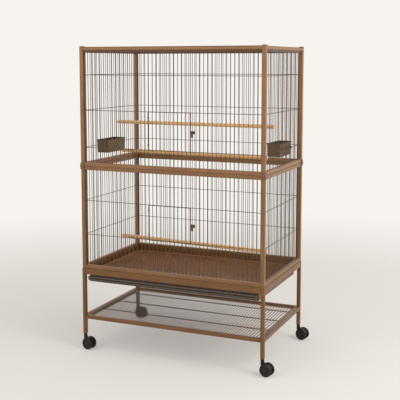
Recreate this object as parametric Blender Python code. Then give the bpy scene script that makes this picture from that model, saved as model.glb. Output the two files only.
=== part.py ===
"""Two-storey wire bird cage on a wheeled stand, built piece by piece.

Run it with: blender --background --python part.py
Units are metres and +Z is up. The front of the cage faces -Y and its left side faces -X.
The origin lies on the floor under the middle of the footprint, wheels included.
"""
import math

import bmesh
import bpy
from mathutils import Vector

# Clearances
TOUCH = 0.0003              # left between two pieces that rest on or against each other
PLAY = 0.0012               # each side of the tray in its runners
PIN_PLAY = 0.0003           # around a pin, axle or hinge bar
WELD = 0.0010               # how far a welded wire or rail end sinks into what it joins

# Roundness of small arcs, and the angle between faces above which an edge stays sharp
ARC_STEPS = 6
SHARP_DEGREES = 40.0

# Cage frame
CAGE_WIDTH = 0.790          # outside of the left posts to outside of the right posts
CAGE_DEPTH = 0.480
STAND_HEIGHT = 0.3408       # floor to the underside of the cage
LOWER_HEIGHT = 0.4233       # lower storey
UPPER_HEIGHT = 0.4805       # upper storey
POST = 0.016                # square corner posts
RAIL = 0.015                # square rails of the panels
TOP_RAIL_HEIGHT = 0.011     # the topmost rails are lower
TOP_STRIP_HEIGHT = 0.009    # bar under each topmost rail
TOP_STRIP_RECESS = 0.0035   # that bar lies this far behind the rail's faces

# Wires of the cage panels
WIRE = 0.0024
FRONT_BAYS = 42             # spaces between upright wires, front and back
SIDE_BAYS = 25
LOWER_CROSS_WIRES = (0.1417, 0.2821)            # heights above the foot of the storey
UPPER_CROSS_WIRES = (0.0762, 0.2267, 0.3686)
EDGE_BAR_WIDTH = 0.0030     # flat bar at each end of a front or back panel
EDGE_BAR_DEPTH = 0.0065

# Roof panel
ROOF_ROD = 0.0030
ROOF_WIRE = 0.0022
ROOF_SEAT = 0.0090          # how far the roof reaches onto the front and back rails
ROOF_END_ROD_DEPTH = 0.0055
ROOF_LONG_WIRES = 3
CAP_HEIGHT = 0.0026
CAP_TOP_INSET = 0.0030

# Corner brackets between the storeys
BRACKET_HEIGHT = 0.0270
BRACKET_WALL = 0.0022
BRACKET_RIDGE = 0.0018      # the ridge at half height stands out by this

# Doors in the front panels
DOOR_FIRST_WIRE = 16
DOOR_LAST_WIRE = 26
DOOR_BAR = 0.0030
DOOR_STANDOFF = 0.0036      # from the panel's middle plane to the door's middle plane
HINGE_LOOP_WALL = 0.0012
HINGE_LOOP_HEIGHT = 0.0050
HINGE_LOOP_INSET = 0.0220   # from the door's top and bottom bars
LATCH_PLATE_HEIGHT = 0.0120
LATCH_PLATE_THICK = 0.0020
LATCH_PIN_RADIUS = 0.0020
LATCH_HEAD_RADIUS = 0.0034
LATCH_HEAD_THICK = 0.0010
LATCH_THICK = 0.0016
LATCH_WIDTH = 0.0084
LATCH_LENGTH = 0.0200       # from the pin to the tip

# Stand
STAND_MARGIN = 0.0015       # the stand stands out past the cage by this on every side
LEG = 0.015
LEG_WALL = 0.0015
STAND_RAIL = 0.015
STAND_RAIL_HEIGHT = 0.025

# Shelf near the floor
SHELF_HEIGHT = 0.1277       # floor to the underside of the shelf
SHELF_TUBE = 0.015
SHELF_BAR = 0.0060          # bar along the inside of each end tube
SHELF_GUSSET = 0.022        # legs of the triangles in the inner corners
SHELF_WIRE = 0.0040
SHELF_LONG_WIRE = 0.0045
SHELF_BAYS = 60
SHELF_LONG_WIRE_Y = (-0.106, 0.024, 0.158)
SHELF_WIRE_DROP = 0.0027    # top of the wires below the top of the tubes

# Floor grille, tray and the runners that hold them
RUNNER_SHEET = 0.0015
RUNNER_LIP_HEIGHT = 0.018
RUNNER_LEDGE_WIDTH = 0.0142
RUNNER_LEDGE_RISE = 0.0007  # above the underside of the stand rails
RUNNER_DROP = 0.0320        # from the grille ledge down to the tray ledge
RUNNER_FOOT_WIDTH = 0.016
GRILLE_ROD = 0.0050
GRILLE_WIRE = 0.0020
GRILLE_BAYS = 80
GRILLE_LONG_BAYS = 22
GRILLE_PLAY = 0.0010
TRAY_WALL = 0.0020
TRAY_DEPTH = 0.0287
TRAY_BACK_REACH = 0.0080    # under the back stand rail
TRAY_LIP_TOP = 0.0052       # below the rim of the tray
TRAY_LIP_HEIGHT = 0.0160
TRAY_LIP_DEPTH = 0.0125
TRAY_LIP_PROUD = 0.0045     # in front of the stand rail
TRAY_LIP_CORNER = 0.0040

# Casters
CASTER_HEIGHT = 0.064       # floor to the foot of the leg
CASTER_TRAIL = 0.020        # the axle lies this far from the stem
CASTER_TURN = -12.0         # degrees that every caster stands turned, seen from above
WHEEL_RADIUS = 0.025
WHEEL_WIDTH = 0.0130
WHEEL_SEGMENTS = 20
HOOD_THICK = 0.0090
HOOD_SIDE_PLAY = 0.0015     # between the hood and each wheel
HOOD_RADIUS = 0.0225
HOOD_HUB_RADIUS = 0.0090
HOOD_NECK_WIDTH = 0.0130
HOOD_ARC = (20.0, 115.0)    # degrees about the axle, over the wheels
HOOD_HUB_ARC = (200.0, 360.0)
BOSS_RADIUS = 0.0070
BOSS_HEIGHT = 0.0145
STEM_PIN_RADIUS = 0.0035
STEM_PIN_LENGTH = 0.0130
STEM_COLLAR_RADIUS = 0.0072
STEM_COLLAR_HEIGHT = 0.0029
STEM_PLUG_LENGTH = 0.030
AXLE_RADIUS = 0.0030
WHEEL_BORE_DEPTH = 0.0095
WHEEL_INNER_CHAMFER = 0.0020
WHEEL_EDGE_ROUND = 0.0045   # between the tread and the outer face
WHEEL_RIM_WIDTH = 0.0020
WHEEL_DISH = 0.0015         # depth of the ring between rim and hub
WHEEL_HUB_RADIUS = 0.0088

# Feeder cups
CUP_DEPTH = 0.060           # away from the side panel
CUP_LENGTH = 0.150          # along the side panel
CUP_HEIGHT = 0.054
CUP_WALL = 0.0025
CUP_TAPER = 0.0030          # the foot is smaller than the rim by this on each side
CUP_RIM_ABOVE_WIRE = 0.0240
CUP_HOOK = 0.0025           # thickness of the hooks
CUP_HOOK_WIDTH = 0.0060
CUP_HOOK_DROP = 0.0060
LEFT_CUP_GAPS = (6, 11)     # spaces between side wires that the hooks pass through
RIGHT_CUP_GAPS = (12, 18)

# Perches. They stand askew: each has its own side wire and its own height above the foot
# of the storey at the left end and at the right end.
PERCH_RADIUS = 0.0075
PERCH_SEGMENTS = 12
PERCH_SLOT_DEPTH = 0.0090
PERCH_OVERHANG = 0.0030     # past the middle of the side wire
PERCH_TOP_WIRES = (16, 6)
PERCH_TOP_RISES = (0.1619, 0.1749)
PERCH_MIDDLE_WIRES = (18, 1)
PERCH_MIDDLE_RISES = (0.0340, 0.0660)
PERCH_LOWER_WIRES = (18, 1)
PERCH_LOWER_RISES = (0.0732, 0.1320)

# Places that follow from the sizes
CORNERS = {"fl": (-1, -1), "fr": (1, -1), "bl": (-1, 1), "br": (1, 1)}
FRONT_SPAN = CAGE_WIDTH - 2 * POST
SIDE_SPAN = CAGE_DEPTH - 2 * POST
PANEL_Y = CAGE_DEPTH / 2 - POST / 2
PANEL_X = CAGE_WIDTH / 2 - POST / 2
SPLIT_Z = STAND_HEIGHT + LOWER_HEIGHT
CAGE_TOP_Z = SPLIT_Z + UPPER_HEIGHT
ROOF_BASE_Z = CAGE_TOP_Z - ROOF_ROD
CROSS_WIRE_INWARD = WIRE + TOUCH
STAND_X = CAGE_WIDTH / 2 + STAND_MARGIN
STAND_Y = CAGE_DEPTH / 2 + STAND_MARGIN
LEG_X = STAND_X - LEG / 2
LEG_Y = STAND_Y - LEG / 2
STAND_RAIL_FOOT_Z = STAND_HEIGHT - STAND_RAIL_HEIGHT
AXLE_Z = WHEEL_RADIUS * math.cos(math.pi / WHEEL_SEGMENTS)
WHEEL_INNER_Y = HOOD_THICK / 2 + HOOD_SIDE_PLAY
RUNNER_WALL_X = STAND_X - STAND_RAIL - TOUCH
LEDGE_Z = STAND_RAIL_FOOT_Z + RUNNER_LEDGE_RISE + RUNNER_SHEET
TRAY_LEDGE_Z = LEDGE_Z - RUNNER_DROP
TRAY_X = RUNNER_WALL_X - RUNNER_LEDGE_WIDTH - PLAY
WHEEL_OUTER_Y = WHEEL_INNER_Y + WHEEL_WIDTH
TURN_COS = math.cos(math.radians(CASTER_TURN))
TURN_SIN = math.sin(math.radians(CASTER_TURN))
WHEEL_REACH_X = LEG_X + (CASTER_TRAIL + WHEEL_RADIUS) * TURN_COS + WHEEL_OUTER_Y * abs(TURN_SIN)
WHEEL_REACH_FRONT = LEG_Y + WHEEL_OUTER_Y * TURN_COS - (CASTER_TRAIL + WHEEL_RADIUS) * TURN_SIN
WHEEL_REACH_BACK = LEG_Y + WHEEL_OUTER_Y * TURN_COS + (CASTER_TRAIL - WHEEL_RADIUS) * TURN_SIN
BRACKET_REACH_X = CAGE_WIDTH / 2 + TOUCH + BRACKET_WALL + BRACKET_RIDGE
# The middle of the cage, seen from the origin under the middle of the whole footprint
CENTRE_X = (BRACKET_REACH_X - WHEEL_REACH_X) / 2
CENTRE_Y = (WHEEL_REACH_FRONT - WHEEL_REACH_BACK) / 2


def front_wire_x(index):
    return -FRONT_SPAN / 2 + index * FRONT_SPAN / FRONT_BAYS


def side_wire_y(index):
    return -SIDE_SPAN / 2 + index * SIDE_SPAN / SIDE_BAYS


# Panel planes: u runs along the panel, inward points into the cage
def on_front(u, inward, z):
    return Vector((u, -PANEL_Y + inward, z))


def on_back(u, inward, z):
    return Vector((u, PANEL_Y - inward, z))


def on_left(u, inward, z):
    return Vector((-PANEL_X + inward, u, z))


def on_right(u, inward, z):
    return Vector((PANEL_X - inward, u, z))


def in_place(x, y, z):
    return Vector((x, y, z))


# Materials
def make_material(name, colour, roughness, metallic):
    material = bpy.data.materials.new(name)
    material.use_nodes = True
    shader = material.node_tree.nodes["Principled BSDF"]
    shader.inputs["Base Color"].default_value = (*colour, 1.0)
    shader.inputs["Roughness"].default_value = roughness
    shader.inputs["Metallic"].default_value = metallic
    material.diffuse_color = (*colour, 1.0)
    return material


def make_materials():
    return {
        "tube": make_material("brown_tube", (0.235, 0.125, 0.068), 0.42, 0.35),
        "wire": make_material("brown_wire", (0.120, 0.078, 0.048), 0.45, 0.35),
        "bracket": make_material("bracket_plastic", (0.160, 0.078, 0.040), 0.50, 0.0),
        "tray": make_material("tray_plastic", (0.030, 0.026, 0.023), 0.35, 0.0),
        "cup": make_material("cup_plastic", (0.090, 0.065, 0.042), 0.35, 0.0),
        "perch": make_material("perch_wood", (0.640, 0.400, 0.190), 0.60, 0.0),
        "caster": make_material("caster_plastic", (0.022, 0.020, 0.019), 0.40, 0.0),
        "tread": make_material("wheel_tread", (0.030, 0.027, 0.025), 0.55, 0.0),
        "steel": make_material("bright_steel", (0.550, 0.540, 0.520), 0.30, 1.0),
        "sheet": make_material("runner_sheet", (0.180, 0.098, 0.055), 0.45, 0.35),
    }


# Mesh building blocks
def add_box(shape, low, high, place=in_place):
    """Add a box between two corners given in the coordinates of `place`."""
    corners = [
        place((low[0], high[0])[i], (low[1], high[1])[j], (low[2], high[2])[k])
        for i in (0, 1)
        for j in (0, 1)
        for k in (0, 1)
    ]
    points = [shape.verts.new(corner) for corner in corners]
    for face in ((0, 1, 3, 2), (4, 6, 7, 5), (0, 4, 5, 1), (2, 3, 7, 6), (0, 2, 6, 4), (1, 5, 7, 3)):
        shape.faces.new([points[index] for index in face])


def add_loft(shape, loops):
    """Join loops of equally many points into one closed skin with flat ends."""
    rings = [[shape.verts.new(point) for point in loop] for loop in loops]
    count = len(rings[0])
    for lower, upper in zip(rings, rings[1:]):
        for i in range(count):
            j = (i + 1) % count
            shape.faces.new((lower[i], lower[j], upper[j], upper[i]))
    shape.faces.new(rings[0][::-1])
    shape.faces.new(rings[-1])


def add_ring_loft(shape, loops):
    """Join loops into a closed skin that returns to the first loop, as round a tube's wall."""
    rings = [[shape.verts.new(point) for point in loop] for loop in loops]
    count = len(rings[0])
    for lower, upper in zip(rings, rings[1:] + rings[:1]):
        for i in range(count):
            j = (i + 1) % count
            shape.faces.new((lower[i], lower[j], upper[j], upper[i]))


def add_turned(shape, profile, segments, to_world):
    """Turn (radius, height) points about an axis. A radius of 0 closes an end."""
    rings = []
    for radius, height in profile:
        if radius == 0:
            rings.append([shape.verts.new(to_world(0.0, 0.0, height))])
            continue
        angles = [(step + 0.5) * 2 * math.pi / segments for step in range(segments)]
        rings.append(
            [
                shape.verts.new(to_world(radius * math.cos(a), radius * math.sin(a), height))
                for a in angles
            ]
        )
    for first, second in zip(rings, rings[1:]):
        for i in range(segments):
            j = (i + 1) % segments
            quad = [first[i % len(first)], first[j % len(first)]]
            quad += [second[j % len(second)], second[i % len(second)]]
            shape.faces.new(list(dict.fromkeys(quad)))


def add_cylinder(shape, radius, start, end, segments, to_world):
    add_turned(shape, [(0, start), (radius, start), (radius, end), (0, end)], segments, to_world)


def add_open_box(shape, low, high, wall, floor, taper=0.0):
    """Add a box that is open on top, with a foot smaller than its rim by `taper` all round."""

    def loop(inset, z):
        return [
            Vector((low[0] + inset, low[1] + inset, z)),
            Vector((high[0] - inset, low[1] + inset, z)),
            Vector((high[0] - inset, high[1] - inset, z)),
            Vector((low[0] + inset, high[1] - inset, z)),
        ]

    loops = [
        loop(taper, low[2]),
        loop(0.0, high[2]),
        loop(wall, high[2]),
        loop(wall + taper, low[2] + floor),
    ]
    add_loft(shape, loops)


def arc_points(centre_a, centre_b, radius, degrees):
    """Points along an arc, from the first to the last of two angles."""
    first, last = (math.radians(value) for value in degrees)
    angles = [first + (last - first) * step / ARC_STEPS for step in range(ARC_STEPS + 1)]
    return [(centre_a + radius * math.cos(a), centre_b + radius * math.sin(a)) for a in angles]


def square(half_x, half_y, z, centre=(0.0, 0.0)):
    x, y = centre
    return [
        Vector((x - half_x, y - half_y, z)),
        Vector((x + half_x, y - half_y, z)),
        Vector((x + half_x, y + half_y, z)),
        Vector((x - half_x, y + half_y, z)),
    ]


def upright(x, y):
    """Axis along +Z through (x, y)."""
    return lambda a, b, height: Vector((x + a, y + b, height))


def crosswise(x, z):
    """Axis along +Y through (x, z)."""
    return lambda a, b, height: Vector((x + a, height, z + b))


def between(start, end):
    """Axis from `start` to `end`, measured from the middle. b is upwards, across the axis."""
    middle = (start + end) / 2
    along = (end - start).normalized()
    sideways = Vector((0, 0, 1)).cross(along).normalized()
    upwards = along.cross(sideways)
    return lambda a, b, height: middle + sideways * a + upwards * b + along * height


def finished_mesh(shape, name):
    bmesh.ops.recalc_face_normals(shape, faces=shape.faces)
    mesh = bpy.data.meshes.new(name)
    shape.to_mesh(mesh)
    shape.free()
    return mesh


def combined(first, others, operation):
    """Unite `first` with each of `others`, or cut them out of it."""
    host = bpy.data.objects.new("host", first)
    bpy.context.scene.collection.objects.link(host)
    helpers = []
    for other in others:
        helper = bpy.data.objects.new("helper", other)
        bpy.context.scene.collection.objects.link(helper)
        helpers.append(helper)
        modifier = host.modifiers.new(operation.lower(), "BOOLEAN")
        modifier.operation = operation
        modifier.solver = "EXACT"
        modifier.object = helper
    depsgraph = bpy.context.evaluated_depsgraph_get()
    result = bpy.data.meshes.new_from_object(host.evaluated_get(depsgraph))
    for item in [host] + helpers:
        bpy.data.objects.remove(item, do_unlink=True)
    return result


def boxes(name, corner_pairs, place=in_place):
    shape = bmesh.new()
    for low, high in corner_pairs:
        add_box(shape, low, high, place)
    return finished_mesh(shape, name)


def turned(name, profile, segments, to_world):
    shape = bmesh.new()
    add_turned(shape, profile, segments, to_world)
    return finished_mesh(shape, name)


def cylinder(name, radius, start, end, segments, to_world):
    shape = bmesh.new()
    add_cylinder(shape, radius, start, end, segments, to_world)
    return finished_mesh(shape, name)


def prism(name, outline, start, end, to_world):
    """Push a flat outline of (a, b) points from `start` to `end` along the axis of `to_world`."""
    shape = bmesh.new()
    add_loft(shape, [[to_world(a, b, height) for a, b in outline] for height in (start, end)])
    return finished_mesh(shape, name)


def add_piece(name, mesh, material, parent, pivot=(0.0, 0.0, 0.0), smooth=False):
    """Make the object for one piece, with its own origin at `pivot` in its parent's frame."""
    pivot = Vector(pivot)
    for vertex in mesh.vertices:
        vertex.co -= pivot
    mesh.name = name
    mesh.materials.clear()
    mesh.materials.append(material)
    if smooth:
        mesh.shade_smooth()
        mesh.set_sharp_from_angle(angle=math.radians(SHARP_DEGREES))
    piece = bpy.data.objects.new(name, mesh)
    bpy.context.scene.collection.objects.link(piece)
    piece.parent = parent
    piece.location = pivot
    return piece


# Wire panels
def upright_wires(low_z, high_z, positions, skip=()):
    """Boxes for upright wires at `positions` along the panel, without those in `skip`."""
    half = WIRE / 2
    return [
        ((u - half, -half, low_z), (u + half, half, high_z))
        for index, u in positions
        if index not in skip
    ]


def cross_wires(heights, foot_z, half_length):
    inner = CROSS_WIRE_INWARD - WIRE / 2
    outer = CROSS_WIRE_INWARD + WIRE / 2
    half = WIRE / 2
    return [
        ((-half_length, inner, foot_z + h - half), (half_length, outer, foot_z + h + half))
        for h in heights
    ]


def storey(level):
    """Foot, top of the posts, foot and top of the upper rail, and the cross wire heights."""
    if level == "upper":
        rail_top = ROOF_BASE_Z - TOUCH
        return (
            SPLIT_Z + TOUCH,
            CAGE_TOP_Z,
            rail_top - TOP_RAIL_HEIGHT,
            rail_top,
            UPPER_CROSS_WIRES,
            SPLIT_Z,
        )
    return (
        STAND_HEIGHT + TOUCH,
        SPLIT_Z,
        SPLIT_Z - RAIL,
        SPLIT_Z,
        LOWER_CROSS_WIRES,
        STAND_HEIGHT,
    )


def top_strip(level, reach):
    """Box for the bar under the topmost rail, and the height at which the wires end."""
    rail_foot = storey(level)[2]
    if level == "lower":
        return [], rail_foot
    half = RAIL / 2 - TOP_STRIP_RECESS
    foot = rail_foot - TOP_STRIP_HEIGHT
    return [((-reach, -half, foot), (reach, half, rail_foot + WELD))], foot


def side_frame(name, level, place):
    """Two posts, two rails and the wires between them, welded into one frame."""
    foot, post_top, rail_foot, rail_top, heights, level_z = storey(level)
    half_post = POST / 2
    half_rail = RAIL / 2
    post_u = CAGE_DEPTH / 2 - half_post
    posts = [
        ((s * post_u - half_post, -half_post, foot), (s * post_u + half_post, half_post, post_top))
        for s in (-1, 1)
    ]
    reach = SIDE_SPAN / 2 + WELD
    rails = [
        ((-reach, -half_rail, foot + TOUCH), (reach, half_rail, foot + RAIL)),
        ((-reach, -half_rail, rail_foot), (reach, half_rail, rail_top - TOUCH)),
    ]
    strip, wire_top = top_strip(level, reach - TOUCH)
    places = [(index, side_wire_y(index)) for index in range(1, SIDE_BAYS)]
    uprights = upright_wires(foot + RAIL - WELD, wire_top + WELD, places)
    crossing = cross_wires(heights, level_z, reach)
    groups = [group for group in (rails, strip, uprights, crossing) if group]
    return combined(
        boxes(name, posts, place), [boxes(name, group, place) for group in groups], "UNION"
    )


def door_edges(level):
    """Left, right, bottom and top middle lines of the door's border bars."""
    heights, level_z = storey(level)[4:6]
    return (
        front_wire_x(DOOR_FIRST_WIRE),
        front_wire_x(DOOR_LAST_WIRE),
        level_z + heights[0],
        level_z + heights[1],
    )


def border(left, right, low, high, bar, middle):
    """Boxes for a square border of bars whose middle lines are given."""
    half = bar / 2
    near, far = middle - half, middle + half
    return {
        "left": ((left - half, near, low - half), (left + half, far, high + half)),
        "right": ((right - half, near, low - half), (right + half, far, high + half)),
        "low": ((left, near, low - half), (right, far, low + half)),
        "high": ((left, near, high - half), (right, far, high + half)),
    }


def hinge_loops(level):
    """Blocks on the panel that hold the door's hinge bar, each with an upright hole."""
    left, _, low, high = door_edges(level)
    hole = DOOR_BAR / 2 + PIN_PLAY
    outer = hole + HINGE_LOOP_WALL
    centre = on_front(left, -DOOR_STANDOFF, 0.0)
    meshes = []
    for z in (low + HINGE_LOOP_INSET, high - HINGE_LOOP_INSET):
        shape = bmesh.new()
        front = centre.y - outer
        back = -PANEL_Y - DOOR_BAR / 4
        loops = []
        for half_x, near, far, height in (
            (outer, front, back, z - HINGE_LOOP_HEIGHT / 2),
            (outer, front, back, z + HINGE_LOOP_HEIGHT / 2),
            (hole, centre.y - hole, centre.y + hole, z + HINGE_LOOP_HEIGHT / 2),
            (hole, centre.y - hole, centre.y + hole, z - HINGE_LOOP_HEIGHT / 2),
        ):
            loops.append(square(half_x, (far - near) / 2, height, (centre.x, (near + far) / 2)))
        add_ring_loft(shape, loops)
        meshes.append(finished_mesh(shape, "hinge_loop"))
    return meshes


def latch_pivot(level):
    """Where the latch pin stands: between the door's border and the next wire."""
    _, right, low, high = door_edges(level)
    pitch = FRONT_SPAN / FRONT_BAYS
    return right + pitch / 2, (low + high) / 2


def latch_layers():
    """How far in front of the panel's middle plane the latch starts and ends, and its head."""
    back = DOOR_STANDOFF + DOOR_BAR / 2 + TOUCH
    front = back + LATCH_THICK
    return back, front, front + TOUCH


def latch_base(level):
    """Plate between two wires with a headed pin for the latch."""
    x, z = latch_pivot(level)
    pitch = FRONT_SPAN / FRONT_BAYS
    half = LATCH_PLATE_HEIGHT / 2
    thick = LATCH_PLATE_THICK / 2
    plate = boxes(
        "latch_plate",
        [((x - pitch / 2, -thick, z - half), (x + pitch / 2, thick, z + half))],
        on_front,
    )
    head = latch_layers()[2]
    profile = [
        (0, 0.0),
        (LATCH_PIN_RADIUS, 0.0),
        (LATCH_PIN_RADIUS, head),
        (LATCH_HEAD_RADIUS, head),
        (LATCH_HEAD_RADIUS, head + LATCH_HEAD_THICK),
        (0, head + LATCH_HEAD_THICK),
    ]
    pin = turned(
        "latch_pin", profile, 8, lambda a, b, h: Vector((x + a, -PANEL_Y - h, z + b))
    )
    return [plate, pin]


def wall_panel(name, level, place, with_door):
    """Rails, edge bars and wires of a front or back panel, and its door opening."""
    foot, _, rail_foot, rail_top, heights, level_z = storey(level)
    half_rail = RAIL / 2
    reach = FRONT_SPAN / 2 - TOUCH
    rails = [
        ((-reach, -half_rail, foot), (reach, half_rail, foot + RAIL)),
        ((-reach, -half_rail, rail_foot), (reach, half_rail, rail_top)),
    ]
    strip, wire_top = top_strip(level, reach - TOUCH)
    bar_low, bar_high = -WIRE / 2, EDGE_BAR_DEPTH - WIRE / 2
    edge_bars = [
        (
            (min(s * (reach - TOUCH), s * (reach - EDGE_BAR_WIDTH)), bar_low, foot + RAIL - WELD),
            (max(s * (reach - TOUCH), s * (reach - EDGE_BAR_WIDTH)), bar_high, wire_top + WELD),
        )
        for s in (-1, 1)
    ]
    low_z, high_z = foot + RAIL - WELD, wire_top + WELD
    places = [(index, front_wire_x(index)) for index in range(1, FRONT_BAYS)]
    opened = range(DOOR_FIRST_WIRE + 1, DOOR_LAST_WIRE) if with_door else ()
    groups = [group for group in (strip, edge_bars) if group]
    if with_door:
        left, right, low, high = door_edges(level)
        bars = border(left, right, low, high, DOOR_BAR, 0.0)
        groups += [[bars["left"], bars["right"]], [bars["low"], bars["high"]]]
        opened_places = [(index, front_wire_x(index)) for index in opened]
        groups.append(upright_wires(low_z, low, opened_places))
        groups.append(upright_wires(high, high_z, opened_places))
    groups.append(upright_wires(low_z, high_z, places, opened))
    groups.append(cross_wires(heights, level_z, reach - EDGE_BAR_WIDTH + WELD))
    others = [boxes(name, group, place) for group in groups]
    if with_door:
        others += hinge_loops(level) + latch_base(level)
    return combined(boxes(name, rails, place), others, "UNION")


def door(name, level):
    """Hinge bar, three border bars and the upright wires of a door."""
    left, right, low, high = door_edges(level)
    half = DOOR_BAR / 2
    middle = -DOOR_STANDOFF
    bars = border(left, right, low, high, DOOR_BAR, middle)
    hinge_bar = cylinder(
        name, half, low - half, high + half, 8, upright(left, -PANEL_Y + middle)
    )
    wire_half = WIRE / 2
    wires = [
        (
            (front_wire_x(index) - wire_half, middle - wire_half, low),
            (front_wire_x(index) + wire_half, middle + wire_half, high),
        )
        for index in range(DOOR_FIRST_WIRE + 1, DOOR_LAST_WIRE)
    ]
    groups = [[bars["right"]], [bars["low"], bars["high"]], wires]
    return combined(hinge_bar, [boxes(name, group, on_front) for group in groups], "UNION")


def latch(name, level):
    """Turning tab with a hole for the pin. It hangs beside the door and turns across it."""
    x, z = latch_pivot(level)
    back, front, _ = latch_layers()
    half = LATCH_WIDTH / 2
    top = arc_points(x, z, half, (0.0, 180.0))
    foot = z - LATCH_LENGTH
    outline = top + [(x - half, foot + half / 2), (x - half / 2, foot)]
    outline += [(x + half / 2, foot), (x + half, foot + half / 2)]
    tab = prism(name, outline, back, front, lambda a, b, h: Vector((a, -PANEL_Y - h, b)))
    bore = cylinder(
        name,
        LATCH_PIN_RADIUS + PIN_PLAY,
        back - WELD,
        front + WELD,
        8,
        lambda a, b, h: Vector((x + a, -PANEL_Y - h, z + b)),
    )
    return combined(tab, [bore], "DIFFERENCE")


def roof_panel():
    """Border of rods with the wires between them. It lies on the front and back rails."""
    reach_x = FRONT_SPAN / 2 - TOUCH
    reach_y = SIDE_SPAN / 2 + ROOF_SEAT
    top = CAGE_TOP_Z
    front_back = []
    for side in (-1, 1):
        near, far = sorted((side * reach_y, side * (reach_y - ROOF_ROD)))
        front_back.append(((-reach_x, near, ROOF_BASE_Z), (reach_x, far, top)))
    ends = []
    for side in (-1, 1):
        near, far = sorted((side * (reach_x - TOUCH), side * (reach_x - ROOF_ROD)))
        reach = SIDE_SPAN / 2 - TOUCH
        ends.append(((near, -reach, top - ROOF_END_ROD_DEPTH), (far, reach, top - TOUCH)))
        corner = reach_y - ROOF_ROD + WELD
        ends.append(((near, -corner, ROOF_BASE_Z + TOUCH), (far, corner, top - 2 * TOUCH)))
    half = ROOF_WIRE / 2
    wire_z = top - 2 * TOUCH - half
    long_z = wire_z - ROOF_WIRE - TOUCH
    reach = reach_y - ROOF_ROD + WELD
    wires = [
        ((x - half, -reach, wire_z - half), (x + half, reach, wire_z + half))
        for x in (front_wire_x(index) for index in range(1, FRONT_BAYS))
    ]
    long_wires = []
    for index in range(1, ROOF_LONG_WIRES + 1):
        y = -SIDE_SPAN / 2 + index * SIDE_SPAN / (ROOF_LONG_WIRES + 1)
        long_reach = reach_x - ROOF_ROD + WELD
        long_wires.append(
            ((-long_reach, y - half, long_z - half), (long_reach, y + half, long_z + half))
        )
    groups = (ends[0::2], ends[1::2], wires, long_wires)
    return combined(
        boxes("roof_panel", front_back),
        [boxes("roof_panel", group) for group in groups],
        "UNION",
    )


def post_cap(side_x, side_y):
    """Low plastic plug on top of a post, rounded towards its top."""
    centre = (side_x * PANEL_X, side_y * PANEL_Y)
    half = POST / 2
    foot = CAGE_TOP_Z + TOUCH
    shape = bmesh.new()
    loops = [
        square(half, half, foot, centre),
        square(half, half, foot + CAP_HEIGHT / 2, centre),
        square(half - CAP_TOP_INSET, half - CAP_TOP_INSET, foot + CAP_HEIGHT, centre),
    ]
    add_loft(shape, loops)
    return finished_mesh(shape, "post_cap")


def corner_bracket(side_x, side_y):
    """Angle that holds the posts of the two storeys together, with a ridge at half height."""
    corner_x = CAGE_WIDTH / 2 + TOUCH
    corner_y = CAGE_DEPTH / 2 + TOUCH
    end_x = CAGE_WIDTH / 2 - POST
    end_y = CAGE_DEPTH / 2 - POST
    shape = bmesh.new()
    loops = []
    half = BRACKET_HEIGHT / 2
    for height, proud in ((-half, 0.0), (0.0, BRACKET_RIDGE), (half, 0.0)):
        out_x = corner_x + BRACKET_WALL + proud
        out_y = corner_y + BRACKET_WALL + proud
        outline = [
            (end_x, out_y),
            (out_x, out_y),
            (out_x, end_y),
            (corner_x, end_y),
            (corner_x, corner_y),
            (end_x, corner_y),
        ]
        loops.append([Vector((side_x * x, side_y * y, SPLIT_Z + height)) for x, y in outline])
    add_loft(shape, loops)
    return finished_mesh(shape, "corner_bracket")


# Stand
def leg(side_x, side_y):
    """Square tube, open at both ends. The caster's plug fits its lower end."""
    centre = (side_x * LEG_X, side_y * LEG_Y)
    outer, inner = LEG / 2, LEG / 2 - LEG_WALL
    shape = bmesh.new()
    loops = [
        square(outer, outer, CASTER_HEIGHT, centre),
        square(outer, outer, STAND_HEIGHT, centre),
        square(inner, inner, STAND_HEIGHT, centre),
        square(inner, inner, CASTER_HEIGHT, centre),
    ]
    add_ring_loft(shape, loops)
    return finished_mesh(shape, "leg")


def stand_rail(side):
    """One rail between two legs, under the edge of the cage."""
    reach_x = STAND_X - LEG - TOUCH
    reach_y = STAND_Y - LEG - TOUCH
    low_z, high_z = STAND_RAIL_FOOT_Z, STAND_HEIGHT
    corners = {
        "front": ((-reach_x, -STAND_Y, low_z), (reach_x, STAND_RAIL - STAND_Y, high_z)),
        "back": ((-reach_x, STAND_Y - STAND_RAIL, low_z), (reach_x, STAND_Y, high_z)),
        "left": ((-STAND_X, -reach_y, low_z), (STAND_RAIL - STAND_X, reach_y, high_z)),
        "right": ((STAND_X - STAND_RAIL, -reach_y, low_z), (STAND_X, reach_y, high_z)),
    }
    return boxes("stand_rail", [corners[side]])


def shelf_gusset(side_x, side_y, corner_x, corner_y):
    """Triangular plate in an inner corner of the shelf, from tube to bar."""
    size = SHELF_GUSSET + WELD
    outline = [(corner_x, corner_y), (corner_x - size, corner_y), (corner_x, corner_y - size)]
    low_z = SHELF_HEIGHT + 3 * WELD
    high_z = SHELF_HEIGHT + SHELF_TUBE - SHELF_WIRE_DROP + TOUCH
    return prism(
        "gusset", outline, low_z, high_z, lambda a, b, h: Vector((side_x * a, side_y * b, h))
    )


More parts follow.
